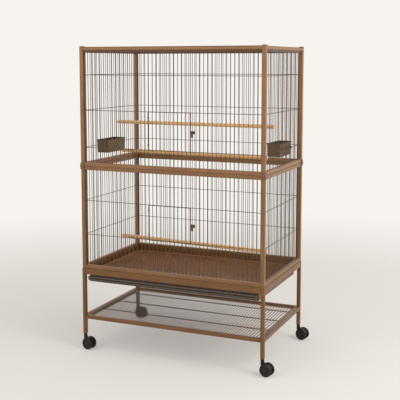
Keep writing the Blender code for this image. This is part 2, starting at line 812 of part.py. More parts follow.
def storage_shelf():
    """Tubes between the legs, a bar inside each end tube, and close wires across."""
    reach_x = STAND_X - LEG - TOUCH
    reach_y = STAND_Y - LEG - TOUCH
    low_z, high_z = SHELF_HEIGHT, SHELF_HEIGHT + SHELF_TUBE
    inner_y = STAND_Y - SHELF_TUBE
    inner_x = STAND_X - SHELF_TUBE
    long_tubes = []
    end_tubes = []
    bars = []
    for side in (-1, 1):
        near, far = sorted((side * STAND_Y, side * inner_y))
        long_tubes.append(((-reach_x, near, low_z), (reach_x, far, high_z)))
        near, far = sorted((side * STAND_X, side * inner_x))
        end_tubes.append(((near, -reach_y, low_z), (far, reach_y, high_z)))
        near, far = sorted((side * (inner_x + WELD), side * (inner_x - SHELF_BAR)))
        bars.append(
            ((near, -inner_y - WELD, low_z + WELD), (far, inner_y + WELD, high_z - WELD))
        )
    # the bars stay clear of the legs, whose inner faces lie beside the tubes
    bars = [
        (
            (max(low[0], -reach_x), low[1], low[2]),
            (min(high[0], reach_x), high[1], high[2]),
        )
        for low, high in bars
    ]
    tabs = []
    for side in (-1, 1):
        near, far = sorted((side * (reach_x - WELD), side * (inner_x + WELD)))
        tabs.append(
            ((near, WELD - reach_y, low_z + 2 * WELD), (far, reach_y - WELD, high_z - 2 * WELD))
        )
    gussets = [
        shelf_gusset(side_x, side_y, reach_x - TOUCH, inner_y + WELD + TOUCH)
        for side_x, side_y in CORNERS.values()
    ]
    top = high_z - SHELF_WIRE_DROP
    half = SHELF_WIRE / 2
    reach = inner_y + WELD
    wires = []
    for index in range(1, SHELF_BAYS):
        x = -inner_x + index * 2 * inner_x / SHELF_BAYS
        if abs(x) + half > inner_x - SHELF_BAR:
            continue
        wires.append(((x - half, -reach, top - SHELF_WIRE), (x + half, reach, top)))
    long_half = SHELF_LONG_WIRE / 2
    long_top = top - SHELF_WIRE - TOUCH
    long_reach = inner_x - SHELF_BAR + WELD
    long_wires = [
        (
            (-long_reach, y - long_half, long_top - SHELF_LONG_WIRE),
            (long_reach, y + long_half, long_top),
        )
        for y in SHELF_LONG_WIRE_Y
    ]
    groups = (bars, tabs, end_tubes, wires, long_wires)
    return combined(
        boxes("storage_shelf", long_tubes),
        [boxes("storage_shelf", group) for group in groups] + gussets,
        "UNION",
    )


def tray_runner(side):
    """Folded strip on a side rail: a ledge for the grille and, below it, one for the tray."""
    wall = RUNNER_WALL_X
    sheet = RUNNER_SHEET
    step = wall - RUNNER_LEDGE_WIDTH
    foot = step - RUNNER_FOOT_WIDTH
    ledge_low = LEDGE_Z - sheet
    outline = [
        (wall, ledge_low),
        (wall, LEDGE_Z + RUNNER_LIP_HEIGHT),
        (wall - sheet, LEDGE_Z + RUNNER_LIP_HEIGHT),
        (wall - sheet, LEDGE_Z),
        (step, LEDGE_Z),
        (step, TRAY_LEDGE_Z),
        (foot, TRAY_LEDGE_Z),
        (foot, TRAY_LEDGE_Z - sheet),
        (step + sheet, TRAY_LEDGE_Z - sheet),
        (step + sheet, ledge_low),
    ]
    reach = STAND_Y - STAND_RAIL - TOUCH
    return prism(
        "tray_runner", outline, -reach, reach, lambda a, b, h: Vector((side * a, h, b))
    )


def floor_grille():
    """Border of rods with a grid of wires. It lies on the ledges of the runners."""
    reach_x = RUNNER_WALL_X - RUNNER_SHEET - GRILLE_PLAY
    reach_y = STAND_Y - STAND_RAIL - GRILLE_PLAY
    low_z = LEDGE_Z + TOUCH
    high_z = low_z + GRILLE_ROD
    inner_x = reach_x - GRILLE_ROD
    inner_y = reach_y - GRILLE_ROD
    shape = bmesh.new()
    loops = [
        square(reach_x, reach_y, low_z),
        square(reach_x, reach_y, high_z),
        square(inner_x, inner_y, high_z),
        square(inner_x, inner_y, low_z),
    ]
    add_ring_loft(shape, loops)
    rods = finished_mesh(shape, "floor_grille")
    half = GRILLE_WIRE / 2
    top = high_z - TOUCH
    long_top = top - GRILLE_WIRE - TOUCH
    wires = []
    for index in range(1, GRILLE_BAYS):
        x = -inner_x + index * 2 * inner_x / GRILLE_BAYS
        low = (x - half, -inner_y - WELD, top - GRILLE_WIRE)
        wires.append((low, (x + half, inner_y + WELD, top)))
    long_wires = []
    for index in range(1, GRILLE_LONG_BAYS):
        y = -inner_y + index * 2 * inner_y / GRILLE_LONG_BAYS
        low = (-inner_x - WELD, y - half, long_top - GRILLE_WIRE)
        long_wires.append((low, (inner_x + WELD, y + half, long_top)))
    return combined(
        rods, [boxes("floor_grille", wires), boxes("floor_grille", long_wires)], "UNION"
    )


def slide_out_tray():
    """Shallow tray with a thick front lip, which is its handle."""
    front_y = -STAND_Y - TRAY_LIP_PROUD + TRAY_LIP_DEPTH - TRAY_WALL
    back_y = STAND_Y - STAND_RAIL + TRAY_BACK_REACH
    low_z = TRAY_LEDGE_Z + TOUCH
    shape = bmesh.new()
    add_open_box(
        shape,
        (-TRAY_X, front_y, low_z),
        (TRAY_X, back_y, low_z + TRAY_DEPTH),
        TRAY_WALL,
        TRAY_WALL,
    )
    body = finished_mesh(shape, "slide_out_tray")
    corner = TRAY_LIP_CORNER
    bend = corner * (1 - math.cos(math.pi / 4))
    near = -STAND_Y - TRAY_LIP_PROUD
    far = near + TRAY_LIP_DEPTH
    top = low_z + TRAY_DEPTH - TRAY_LIP_TOP
    foot = top - TRAY_LIP_HEIGHT
    outline = [
        (near, foot + corner),
        (near + bend, foot + bend),
        (near + corner, foot),
        (far, foot),
        (far, top),
        (near + corner, top),
        (near + bend, top - bend),
        (near, top - corner),
    ]
    reach = TRAY_X + PLAY / 2
    lip = prism("slide_out_tray", outline, -reach, reach, lambda a, b, h: Vector((h, a, b)))
    return combined(body, [lip], "UNION")


# Casters
def caster_stem(x, y):
    """Plug in the leg, collar under it and the pin that the hood turns on."""
    plug_radius = LEG / 2 - LEG_WALL - TOUCH
    collar_top = CASTER_HEIGHT - TOUCH
    collar_foot = collar_top - STEM_COLLAR_HEIGHT
    profile = [
        (0, collar_foot - STEM_PIN_LENGTH),
        (STEM_PIN_RADIUS, collar_foot - STEM_PIN_LENGTH),
        (STEM_PIN_RADIUS, collar_foot),
        (STEM_COLLAR_RADIUS, collar_foot),
        (STEM_COLLAR_RADIUS, collar_top),
        (plug_radius, collar_top),
        (plug_radius, collar_top + STEM_PLUG_LENGTH),
        (0, collar_top + STEM_PLUG_LENGTH),
    ]
    return turned("caster_stem", profile, 12, upright(x, y))


def hood_outline():
    """Side view of the hood: round the axle, up over the wheels and on to the stem."""
    axle_x = CASTER_TRAIL
    over = arc_points(axle_x, AXLE_Z, HOOD_RADIUS, HOOD_ARC)
    boss_top = CASTER_HEIGHT - TOUCH - STEM_COLLAR_HEIGHT - TOUCH
    neck = HOOD_NECK_WIDTH / 2
    stem_side = [
        (neck, boss_top - BOSS_HEIGHT / 2),
        (neck, boss_top - WELD),
        (-neck, boss_top - WELD),
        (-neck, boss_top - BOSS_HEIGHT - neck),
    ]
    under = arc_points(axle_x, AXLE_Z, HOOD_HUB_RADIUS, HOOD_HUB_ARC)
    return over + stem_side + under


def caster_hood():
    """Body between the two wheels, with a boss that turns on the stem's pin."""
    boss_top = CASTER_HEIGHT - TOUCH - STEM_COLLAR_HEIGHT - TOUCH
    plate = prism(
        "caster_hood",
        hood_outline(),
        -HOOD_THICK / 2,
        HOOD_THICK / 2,
        lambda a, b, h: Vector((a, h, b)),
    )
    boss = cylinder(
        "caster_hood", BOSS_RADIUS, boss_top - BOSS_HEIGHT, boss_top, 12, upright(0.0, 0.0)
    )
    body = combined(plate, [boss], "UNION")
    pin_hole = cylinder(
        "caster_hood",
        STEM_PIN_RADIUS + PIN_PLAY,
        boss_top + TOUCH - STEM_PIN_LENGTH - WELD,
        boss_top + WELD,
        12,
        upright(0.0, 0.0),
    )
    axle_hole = cylinder(
        "caster_hood",
        AXLE_RADIUS + PIN_PLAY,
        -HOOD_THICK,
        HOOD_THICK,
        12,
        crosswise(CASTER_TRAIL, AXLE_Z),
    )
    return combined(body, [pin_hole, axle_hole], "DIFFERENCE")


def caster_axle():
    reach = WHEEL_INNER_Y + WHEEL_BORE_DEPTH - PIN_PLAY
    axis = crosswise(CASTER_TRAIL, AXLE_Z)
    return cylinder("caster_axle", AXLE_RADIUS, -reach, reach, 12, axis)


def caster_wheel(side):
    """Round wheel with a blind bore, a flat tread and a dished outer face."""
    inner = WHEEL_INNER_Y
    outer = WHEEL_OUTER_Y
    radius = WHEEL_RADIUS
    bore = AXLE_RADIUS + PIN_PLAY
    bend = WHEEL_EDGE_ROUND * (1 - math.cos(math.pi / 4))
    rim = radius - WHEEL_EDGE_ROUND
    profile = [
        (0, inner + WHEEL_BORE_DEPTH),
        (bore, inner + WHEEL_BORE_DEPTH),
        (bore, inner),
        (radius - WHEEL_INNER_CHAMFER, inner),
        (radius, inner + WHEEL_INNER_CHAMFER),
        (radius, outer - WHEEL_EDGE_ROUND),
        (radius - bend, outer - bend),
        (rim, outer),
        (rim - WHEEL_RIM_WIDTH, outer - WHEEL_DISH),
        (WHEEL_HUB_RADIUS, outer - WHEEL_DISH),
        (WHEEL_HUB_RADIUS - WHEEL_DISH, outer),
        (0, outer),
    ]
    axis = crosswise(CASTER_TRAIL, AXLE_Z)
    return turned(
        "caster_wheel",
        profile,
        WHEEL_SEGMENTS,
        lambda a, b, h: axis(a, b, side * h),
    )


# What hangs inside
def feeder_cup(side, gaps):
    """Open cup that hangs from the lowest cross wire of a side panel by two hooks."""
    wire_z = SPLIT_Z + UPPER_CROSS_WIRES[0]
    rim_z = wire_z + CUP_RIM_ABOVE_WIRE
    wire_inner_x = PANEL_X - CROSS_WIRE_INWARD - WIRE / 2
    back_x = wire_inner_x - TOUCH
    hook_ys = [(side_wire_y(gap) + side_wire_y(gap + 1)) / 2 for gap in gaps]
    middle_y = sum(hook_ys) / len(hook_ys)
    near, far = sorted((side * back_x, side * (back_x - CUP_DEPTH)))
    shape = bmesh.new()
    add_open_box(
        shape,
        (near, middle_y - CUP_LENGTH / 2, rim_z - CUP_HEIGHT),
        (far, middle_y + CUP_LENGTH / 2, rim_z),
        CUP_WALL,
        CUP_WALL,
        CUP_TAPER,
    )
    cup = finished_mesh(shape, "feeder_cup")
    hook_low = wire_z + WIRE / 2 + TOUCH
    hook_inner = back_x - CUP_TAPER * CUP_RIM_ABOVE_WIRE / CUP_HEIGHT - WELD
    hook_tip = back_x + 2 * TOUCH + WIRE
    arms = []
    tips = []
    half = CUP_HOOK_WIDTH / 2
    for y in hook_ys:
        near, far = sorted((side * hook_inner, side * (hook_tip + CUP_HOOK)))
        arms.append(((near, y - half, hook_low), (far, y + half, hook_low + CUP_HOOK)))
        near, far = sorted((side * hook_tip, side * (hook_tip + CUP_HOOK - TOUCH)))
        inset = half - TOUCH
        tips.append(
            ((near, y - inset, hook_low - CUP_HOOK_DROP), (far, y + inset, hook_low + WELD))
        )
    return combined(cup, [boxes("feeder_cup", arms), boxes("feeder_cup", tips)], "UNION")


def perch(wires, heights):
    """Wooden dowel from side to side. A slot in each end grips an upright wire."""
    left, right = (
        Vector((side * PANEL_X, side_wire_y(wire_index), z))
        for side, wire_index, z in zip((-1, 1), wires, heights)
    )
    reach = (right - left).length / 2 + PERCH_OVERHANG
    place = between(left, right)
    along = (right - left).normalized()
    dowel = cylinder("perch", PERCH_RADIUS, -reach, reach, PERCH_SEGMENTS, place)
    half = WIRE / 2 * (abs(along.x) + abs(along.y)) + TOUCH
    slots = []
    for side in (-1, 1):
        near, far = sorted((side * (reach - PERCH_SLOT_DEPTH), side * (reach + WELD)))
        low = (-half, -2 * PERCH_RADIUS, near)
        high = (half, 2 * PERCH_RADIUS, far)
        slots.append((low, high))
    return combined(dowel, [boxes("perch_slots", slots, place)], "DIFFERENCE")


# Assembly
def build_cage(materials, cage):
    for level in ("lower", "upper"):
        for side, place in (("left", on_left), ("right", on_right)):
            name = f"{level}_{side}_side"
            add_piece(name, side_frame(name, level, place), materials["tube"], cage)
        for side, place in (("front", on_front), ("back", on_back)):
            name = f"{level}_{side}_panel"
            mesh = wall_panel(name, level, place, side == "front")
            add_piece(name, mesh, materials["wire"], cage)
    add_piece("roof_panel", roof_panel(), materials["wire"], cage)
    for corner, (side_x, side_y) in CORNERS.items():
        add_piece(f"post_cap_{corner}", post_cap(side_x, side_y), materials["bracket"], cage)
        mesh = corner_bracket(side_x, side_y)
        add_piece(f"corner_bracket_{corner}", mesh, materials["bracket"], cage)


def build_doors(materials, cage):
    for level in ("lower", "upper"):
        left, _, low, high = door_edges(level)
        hinge = (left, -PANEL_Y - DOOR_STANDOFF, (low + high) / 2)
        add_piece(f"{level}_door", door("door", level), materials["wire"], cage, hinge)
        x, z = latch_pivot(level)
        back, front, _ = latch_layers()
        pivot = (x, -PANEL_Y - (back + front) / 2, z)
        add_piece(f"{level}_latch", latch("latch", level), materials["wire"], cage, pivot)


def build_stand(materials, cage):
    for corner, (side_x, side_y) in CORNERS.items():
        add_piece(f"leg_{corner}", leg(side_x, side_y), materials["tube"], cage)
    for side in ("front", "back", "left", "right"):
        add_piece(f"stand_rail_{side}", stand_rail(side), materials["tube"], cage)
    add_piece("storage_shelf", storage_shelf(), materials["tube"], cage)
    add_piece("tray_runner_left", tray_runner(-1), materials["sheet"], cage)
    add_piece("tray_runner_right", tray_runner(1), materials["sheet"], cage)
    add_piece("floor_grille", floor_grille(), materials["wire"], cage)
    add_piece("slide_out_tray", slide_out_tray(), materials["tray"], cage)


def build_casters(materials, cage):
    for corner, (side_x, side_y) in CORNERS.items():
        x, y = side_x * LEG_X, side_y * LEG_Y
        stem_mesh = caster_stem(x, y)
        stem_point = (x, y, CASTER_HEIGHT)
        add_piece(f"caster_stem_{corner}", stem_mesh, materials["caster"], cage, stem_point, True)
        swivel = bpy.data.objects.new(f"caster_swivel_{corner}", None)
        bpy.context.scene.collection.objects.link(swivel)
        swivel.parent = cage
        swivel.location = (x, y, 0.0)
        swivel.rotation_euler = (0.0, 0.0, math.radians(CASTER_TURN))
        name = f"caster_hood_{corner}"
        add_piece(name, caster_hood(), materials["caster"], swivel, (0.0, 0.0, AXLE_Z), True)
        axle_point = (CASTER_TRAIL, 0.0, AXLE_Z)
        name = f"caster_axle_{corner}"
        add_piece(name, caster_axle(), materials["steel"], swivel, axle_point, True)
        for label, side in (("front", -1), ("back", 1)):
            name = f"caster_wheel_{corner}_{label}"
            add_piece(name, caster_wheel(side), materials["tread"], swivel, axle_point, True)


def build_fittings(materials, cage):
    add_piece("feeder_cup_left", feeder_cup(-1, LEFT_CUP_GAPS), materials["cup"], cage)
    add_piece("feeder_cup_right", feeder_cup(1, RIGHT_CUP_GAPS), materials["cup"], cage)
    perches = {
        "perch_top": (PERCH_TOP_WIRES, SPLIT_Z, PERCH_TOP_RISES),
        "perch_middle": (PERCH_MIDDLE_WIRES, SPLIT_Z, PERCH_MIDDLE_RISES),
        "perch_lower": (PERCH_LOWER_WIRES, STAND_HEIGHT, PERCH_LOWER_RISES),
    }
    for name, (wires, foot_z, rises) in perches.items():
        mesh = perch(wires, [foot_z + rise for rise in rises])
        add_piece(name, mesh, materials["perch"], cage, smooth=True)


def main():
    for item in list(bpy.data.objects):
        bpy.data.objects.remove(item, do_unlink=True)
    materials = make_materials()
    cage = bpy.data.objects.new("cage_centre", None)
    cage.location = (CENTRE_X, CENTRE_Y, 0.0)
    bpy.context.scene.collection.objects.link(cage)
    build_cage(materials, cage)
    build_doors(materials, cage)
    build_stand(materials, cage)
    build_casters(materials, cage)
    build_fittings(materials, cage)
    bpy.context.view_layer.update()


main()
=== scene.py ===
"""Looks of a two-storey wire bird cage on a wheeled stand.

Points are in metres from the middle of the cage, with +Z up and the doors towards -Y.
Every piece stands where its solid stands and takes its sizes from the values below.
"""
import math

import bmesh
import bpy
from mathutils import Euler, Matrix, Vector


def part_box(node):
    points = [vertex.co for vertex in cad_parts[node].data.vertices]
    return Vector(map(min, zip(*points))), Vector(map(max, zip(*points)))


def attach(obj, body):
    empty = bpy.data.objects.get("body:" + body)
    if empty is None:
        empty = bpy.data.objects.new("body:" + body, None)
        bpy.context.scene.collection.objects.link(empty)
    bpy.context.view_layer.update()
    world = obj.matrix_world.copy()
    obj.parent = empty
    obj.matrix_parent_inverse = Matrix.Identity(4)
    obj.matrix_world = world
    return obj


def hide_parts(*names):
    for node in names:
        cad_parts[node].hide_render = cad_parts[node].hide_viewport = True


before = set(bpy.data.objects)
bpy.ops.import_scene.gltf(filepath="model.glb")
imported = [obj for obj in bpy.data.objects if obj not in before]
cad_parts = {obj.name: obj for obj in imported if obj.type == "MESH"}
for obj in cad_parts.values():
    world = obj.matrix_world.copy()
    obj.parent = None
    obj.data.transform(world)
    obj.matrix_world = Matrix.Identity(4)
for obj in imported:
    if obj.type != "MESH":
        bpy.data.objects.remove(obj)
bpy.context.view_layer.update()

# Gaps and welds
TOUCH = 0.0003
PLAY = 0.0012
PIN_PLAY = 0.0003
WELD = 0.0010

# Cage frame
CAGE_WIDTH = 0.790
CAGE_DEPTH = 0.480
STAND_HEIGHT = 0.3408
LOWER_HEIGHT = 0.4233
UPPER_HEIGHT = 0.4805
POST = 0.016
RAIL = 0.015
TOP_RAIL_HEIGHT = 0.011
TOP_STRIP_HEIGHT = 0.009
TOP_STRIP_RECESS = 0.0035
TUBE_CORNER = 0.0019
TOP_STRIP_CORNER = 0.0012
ROD_CORNER = 0.0010

# Wires
WIRE = 0.0024
FRONT_BAYS = 42
SIDE_BAYS = 25
LOWER_CROSS_WIRES = (0.1417, 0.2821)
UPPER_CROSS_WIRES = (0.0762, 0.2267, 0.3686)
CROSS_WIRE_INWARD = 0.0022  # less than a wire's thickness, so welded wires sink into each other
EDGE_BAR_WIDTH = 0.0030
EDGE_BAR_DEPTH = 0.0065
EDGE_BAR_CORNER = 0.0008
WIRE_SINK = 0.0002  # the same for the wires of roof and grille
ROOF_ROD = 0.0030
ROOF_WIRE = 0.0022
ROOF_SEAT = 0.0090
ROOF_END_ROD_DEPTH = 0.0055
ROOF_LONG_WIRES = 3
CAP_HEIGHT = 0.0026
CAP_TOP_INSET = 0.0030
BRACKET_HEIGHT = 0.0270
BRACKET_WALL = 0.0022
BRACKET_RIDGE = 0.0018
BRACKET_ROUND = 0.0030
BRACKET_EDGE = 0.0006

# Doors and latches
DOOR_FIRST_WIRE = 16
DOOR_LAST_WIRE = 26
DOOR_BAR = 0.0030
DOOR_CORNER = 0.0040
DOOR_STANDOFF = 0.0036
HINGE_LOOP_WALL = 0.0012
HINGE_LOOP_HEIGHT = 0.0050
HINGE_LOOP_INSET = 0.0220
LATCH_PLATE_HEIGHT = 0.0120
LATCH_PLATE_THICK = 0.0020
LATCH_PLATE_CORNER = 0.0015
LATCH_PIN_RADIUS = 0.0020
LATCH_HEAD_RADIUS = 0.0034
LATCH_HEAD_THICK = 0.0010
LATCH_THICK = 0.0016
LATCH_WIDTH = 0.0084
LATCH_LENGTH = 0.0200
LATCH_FOOT_ROUND = 0.9
LATCH_GRIP_RISE = 0.001

# Stand, shelf, grille and tray
STAND_MARGIN = 0.0015
LEG = 0.015
LEG_WALL = 0.0015
LEG_BEVEL = 0.0003
STAND_RAIL = 0.015
STAND_RAIL_HEIGHT = 0.025
SHELF_HEIGHT = 0.1277
SHELF_TUBE = 0.015
SHELF_BAR = 0.0060
SHELF_GUSSET = 0.022
SHELF_GUSSET_CUT = 0.002
SHELF_WIRE = 0.0040
SHELF_LONG_WIRE = 0.0045
SHELF_BAYS = 60
SHELF_LONG_WIRE_Y = (-0.106, 0.024, 0.158)
SHELF_WIRE_DROP = 0.0027
SHELF_WIRE_SINK = 0.0003
RUNNER_SHEET = 0.0015
RUNNER_LEDGE_WIDTH = 0.0142
RUNNER_LEDGE_RISE = 0.0007
RUNNER_DROP = 0.0320
GRILLE_ROD = 0.0050
GRILLE_CORNER = 0.006
GRILLE_WIRE = 0.0020
GRILLE_BAYS = 80
GRILLE_LONG_BAYS = 22
GRILLE_PLAY = 0.0010
TRAY_WALL = 0.0020
TRAY_CORNER = 0.0100
TRAY_DEPTH = 0.0287
TRAY_BACK_REACH = 0.0080
TRAY_LIP_TOP = 0.0052
TRAY_LIP_HEIGHT = 0.0160
TRAY_LIP_DEPTH = 0.0125
TRAY_LIP_PROUD = 0.0045
TRAY_LIP_ROLL = 0.0048
TRAY_GROOVE_SHARE = 0.44
TRAY_GROOVE_HALF = 0.0006

# Casters
CASTER_HEIGHT = 0.064
CASTER_TRAIL = 0.020
CASTER_TURN = -12.0
WHEEL_RADIUS = 0.025
WHEEL_WIDTH = 0.0130
WHEEL_SIDES = 56
HOOD_THICK = 0.0090
HOOD_SIDE_PLAY = 0.0015
HOOD_RADIUS = 0.0225
HOOD_HUB_RADIUS = 0.0090
HOOD_NECK_WIDTH = 0.0130
HOOD_OVER = (20, 95)  # start and sweep in degrees about the axle
HOOD_UNDER = (200, 160)
BOSS_RADIUS = 0.0070
BOSS_HEIGHT = 0.0145
STEM_PIN_RADIUS = 0.0035
STEM_COLLAR_HEIGHT = 0.0029
AXLE_RADIUS = 0.0030
# Outer side of a wheel. Tread: inset from the rim and depth below the face. Disc, hub: radius and depth.
WHEEL_TREAD = (
    (0.0, 0.0050), (0.0005, 0.0032), (0.0017, 0.0014), (0.0035, 0.0004), (0.0048, 0.0),
    (0.0058, 0.0004), (0.0064, 0.0014),
)
WHEEL_DISC = (
    (0.0125, 0.0018), (0.0118, 0.0012), (0.0106, 0.0012), (0.0100, 0.0018), (0.0080, 0.0018),
    (0.0074, 0.0013),
)
WHEEL_HUB = ((0.0070, 0.0004), (0.0062, 0.0001), (0.0040, 0.0), (0.0030, 0.0002), (0.0, 0.0003))

# Feeder cups and perches
CUP_DEPTH = 0.060
CUP_LENGTH = 0.150
CUP_HEIGHT = 0.054
CUP_WALL = 0.0025
CUP_TAPER = 0.0030
CUP_RIM_ROW = 9
CUP_RIM_ABOVE_WIRE = 0.0240
CUP_HOOK = 0.0025
CUP_HOOK_WIDTH = 0.0060
CUP_HOOK_DROP = 0.0060
LEFT_CUP_GAPS = (6, 11)
RIGHT_CUP_GAPS = (12, 18)
PERCH_RADIUS = 0.0075
PERCH_SLOT_DEPTH = 0.0090
PERCH_OVERHANG = 0.0030
# Side wires and heights of each perch's left and right end, and whether it is in the upper storey
PERCHES = {
    "perch_top": ((16, 6), (0.1619, 0.1749), True),
    "perch_middle": ((18, 1), (0.0340, 0.0660), True),
    "perch_lower": ((18, 1), (0.0732, 0.1320), False),
}

# Values that follow from the ones above
FRONT_SPAN = CAGE_WIDTH - 2 * POST
SIDE_SPAN = CAGE_DEPTH - 2 * POST
PANEL_Y = CAGE_DEPTH / 2 - POST / 2
PANEL_X = CAGE_WIDTH / 2 - POST / 2
SPLIT_Z = STAND_HEIGHT + LOWER_HEIGHT
CAGE_TOP_Z = SPLIT_Z + UPPER_HEIGHT
ROOF_BASE_Z = CAGE_TOP_Z - ROOF_ROD
STAND_X = CAGE_WIDTH / 2 + STAND_MARGIN
STAND_Y = CAGE_DEPTH / 2 + STAND_MARGIN
LEG_X = STAND_X - LEG / 2
LEG_Y = STAND_Y - LEG / 2
STAND_RAIL_FOOT_Z = STAND_HEIGHT - STAND_RAIL_HEIGHT
AXLE_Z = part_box("caster_wheel_fl_front")[0].z + WHEEL_RADIUS
WHEEL_INNER_Y = HOOD_THICK / 2 + HOOD_SIDE_PLAY
WHEEL_OUTER_Y = WHEEL_INNER_Y + WHEEL_WIDTH
RUNNER_WALL_X = STAND_X - STAND_RAIL - TOUCH
LEDGE_Z = STAND_RAIL_FOOT_Z + RUNNER_LEDGE_RISE + RUNNER_SHEET
TRAY_LEDGE_Z = LEDGE_Z - RUNNER_DROP
TRAY_X = RUNNER_WALL_X - RUNNER_LEDGE_WIDTH - PLAY
CORNERS = {"fl": (-1, -1), "fr": (1, -1), "bl": (-1, 1), "br": (1, 1)}

leg_low, leg_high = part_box("leg_fl")[0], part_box("leg_br")[1]
CENTRE = Vector(((leg_low.x + leg_high.x) / 2, (leg_low.y + leg_high.y) / 2, 0.0))


def front_wire_x(index):
    return -FRONT_SPAN / 2 + index * FRONT_SPAN / FRONT_BAYS


def side_wire_y(index):
    return -SIDE_SPAN / 2 + index * SIDE_SPAN / SIDE_BAYS


def on_front(u, inward, z):
    return Vector((u, -PANEL_Y + inward, z))


def on_back(u, inward, z):
    return Vector((u, PANEL_Y - inward, z))


def on_left(u, inward, z):
    return Vector((-PANEL_X + inward, u, z))


def on_right(u, inward, z):
    return Vector((PANEL_X - inward, u, z))


def in_place(x, y, z):
    return Vector((x, y, z))


# Materials
COAT_ROUGHNESS = 0.25
NOISE_MIDDLE = (0.3, 0.7)  # most of a noise's values


def srgb(*channels):
    """Linear colour of an 8-bit one."""
    return tuple(((v / 255 + 0.055) / 1.055) ** 2.4 if v > 10 else v / 255 / 12.92 for v in channels)


def new_material(name, roughness, metallic=0.0, coat=0.0, specular=0.5):
    material = bpy.data.materials.new(name)
    material.use_nodes = True
    shader = material.node_tree.nodes["Principled BSDF"]
    for key, value in (
        ("Roughness", roughness), ("Metallic", metallic), ("Coat Weight", coat),
        ("Coat Roughness", COAT_ROUGHNESS), ("Specular IOR Level", specular),
    ):
        shader.inputs[key].default_value = value
    return material, material.node_tree, shader


def node(tree, kind, **settings):
    made = tree.nodes.new(kind)
    for key, value in settings.items():
        if key in made.inputs:
            made.inputs[key].default_value = value
        else:
            setattr(made, key, value)
    return made


def noise(tree, scale, detail, stretch=None, roughness=0.5):
    """Noise in object space. `stretch` scales the axes, for grain and brush marks."""
    made = node(tree, "ShaderNodeTexNoise", Scale=scale, Detail=detail, Roughness=roughness)
    vector = node(tree, "ShaderNodeTexCoord").outputs["Object"]
    if stretch:
        mapping = node(tree, "ShaderNodeMapping", Scale=stretch)
        tree.links.new(vector, mapping.inputs["Vector"])
        vector = mapping.outputs["Vector"]
    tree.links.new(vector, made.inputs["Vector"])
    return made.outputs["Fac"]


def tint(tree, shader, source, stops):
    """Colour the shader by a ramp of (position, colour) stops over a noise."""
    made = node(tree, "ShaderNodeValToRGB")
    tree.links.new(source, made.inputs["Fac"])
    elements = made.color_ramp.elements
    while len(elements) < len(stops):
        elements.new(0.5)
    for element, (position, colour) in zip(elements, stops):
        element.position = position
        element.color = (*colour, 1.0)
    tree.links.new(made.outputs["Color"], shader.inputs["Base Color"])


def map_range(tree, source, start, end, **settings):
    """Map the values between the ends of `start` onto those between the ends of `end`."""
    made = node(tree, "ShaderNodeMapRange", **settings)
    for key, value in zip(("From Min", "From Max", "To Min", "To Max"), (*start, *end)):
        made.inputs[key].default_value = value
    tree.links.new(source, made.inputs["Value"])
    return made.outputs["Result"]


def roughen(tree, shader, source, low, high):
    """Roughness from `low` to `high` over the middle of a noise."""
    tree.links.new(map_range(tree, source, NOISE_MIDDLE, (low, high)), shader.inputs["Roughness"])


def bump(tree, shader, source, distance, strength):
    made = node(tree, "ShaderNodeBump", Strength=strength, Distance=distance)
    tree.links.new(source, made.inputs["Height"])
    tree.links.new(made.outputs["Normal"], shader.inputs["Normal"])


def shade(colour, factor):
    return tuple(min(1.0, channel * factor) for channel in colour)


def powder_coat(name, colour, roughness=0.40, metallic=0.25, grain=1.0):
    """Satin powder coat: broad tone changes, fine speckle and the texture of orange peel."""
    material, tree, shader = new_material(name, roughness, metallic, coat=0.15)
    broad = noise(tree, 14.0, 4.0)
    speckle = noise(tree, 900.0, 2.0)
    mixed = node(tree, "ShaderNodeMath", operation="MULTIPLY_ADD")
    tree.links.new(speckle, mixed.inputs[0])
    mixed.inputs[1].default_value = 0.35
    tree.links.new(broad, mixed.inputs[2])
    tint(tree, shader, mixed.outputs["Value"], [
        (0.45, shade(colour, 0.86)), (0.66, colour), (0.90, shade(colour, 1.15)),
    ])
    roughen(tree, shader, broad, roughness - 0.06, roughness + 0.08)
    bump(tree, shader, noise(tree, 420.0, 2.0), 0.00012 * grain, 0.55)
    return material


def moulded(
    name, colour, roughness, variation=0.10, grain_scale=1300.0, depth=0.00006, coat=0.0, specular=0.5
):
    """Moulded plastic with a fine spark-eroded grain and faint handling marks."""
    material, tree, shader = new_material(name, roughness, coat=coat, specular=specular)
    broad = noise(tree, 30.0, 4.0)
    tint(tree, shader, broad, [(0.30, shade(colour, 1 - variation)), (0.70, shade(colour, 1 + variation))])
    marks = noise(tree, 60.0, 5.0, (1.0, 1.0, 3.0))
    roughen(tree, shader, marks, roughness - 0.05, roughness + 0.10)
    bump(tree, shader, noise(tree, grain_scale, 1.0), depth, 0.6)
    return material


def zinc_steel(name):
    """Zinc-plated steel, softly mottled, with fine scratches."""
    material, tree, shader = new_material(name, 0.34, metallic=1.0)
    mottle = noise(tree, 220.0, 5.0)
    tint(tree, shader, mottle, [(0.3, (0.42, 0.41, 0.39)), (0.7, (0.60, 0.59, 0.57))])
    scratches = noise(tree, 300.0, 4.0, (1.0, 8.0, 1.0))
    roughen(tree, shader, scratches, 0.26, 0.46)
    bump(tree, shader, scratches, 0.00003, 0.4)
    return material


def dowel_wood(name):
    """Pale hardwood dowel: long grain, fine pores and slow colour changes along X."""
    material, tree, shader = new_material(name, 0.55, specular=0.35)
    grain = noise(tree, 26.0, 6.0, (1.0, 22.0, 22.0), 0.62)
    tint(tree, shader, grain, [
        (0.28, srgb(196, 142, 88)), (0.46, srgb(234, 184, 126)),
        (0.60, srgb(246, 202, 148)), (0.78, srgb(220, 166, 108)),
    ])
    pores = noise(tree, 160.0, 3.0, (1.0, 14.0, 14.0))
    roughen(tree, shader, pores, 0.46, 0.66)
    bump(tree, shader, pores, 0.00010, 0.6)
    return material


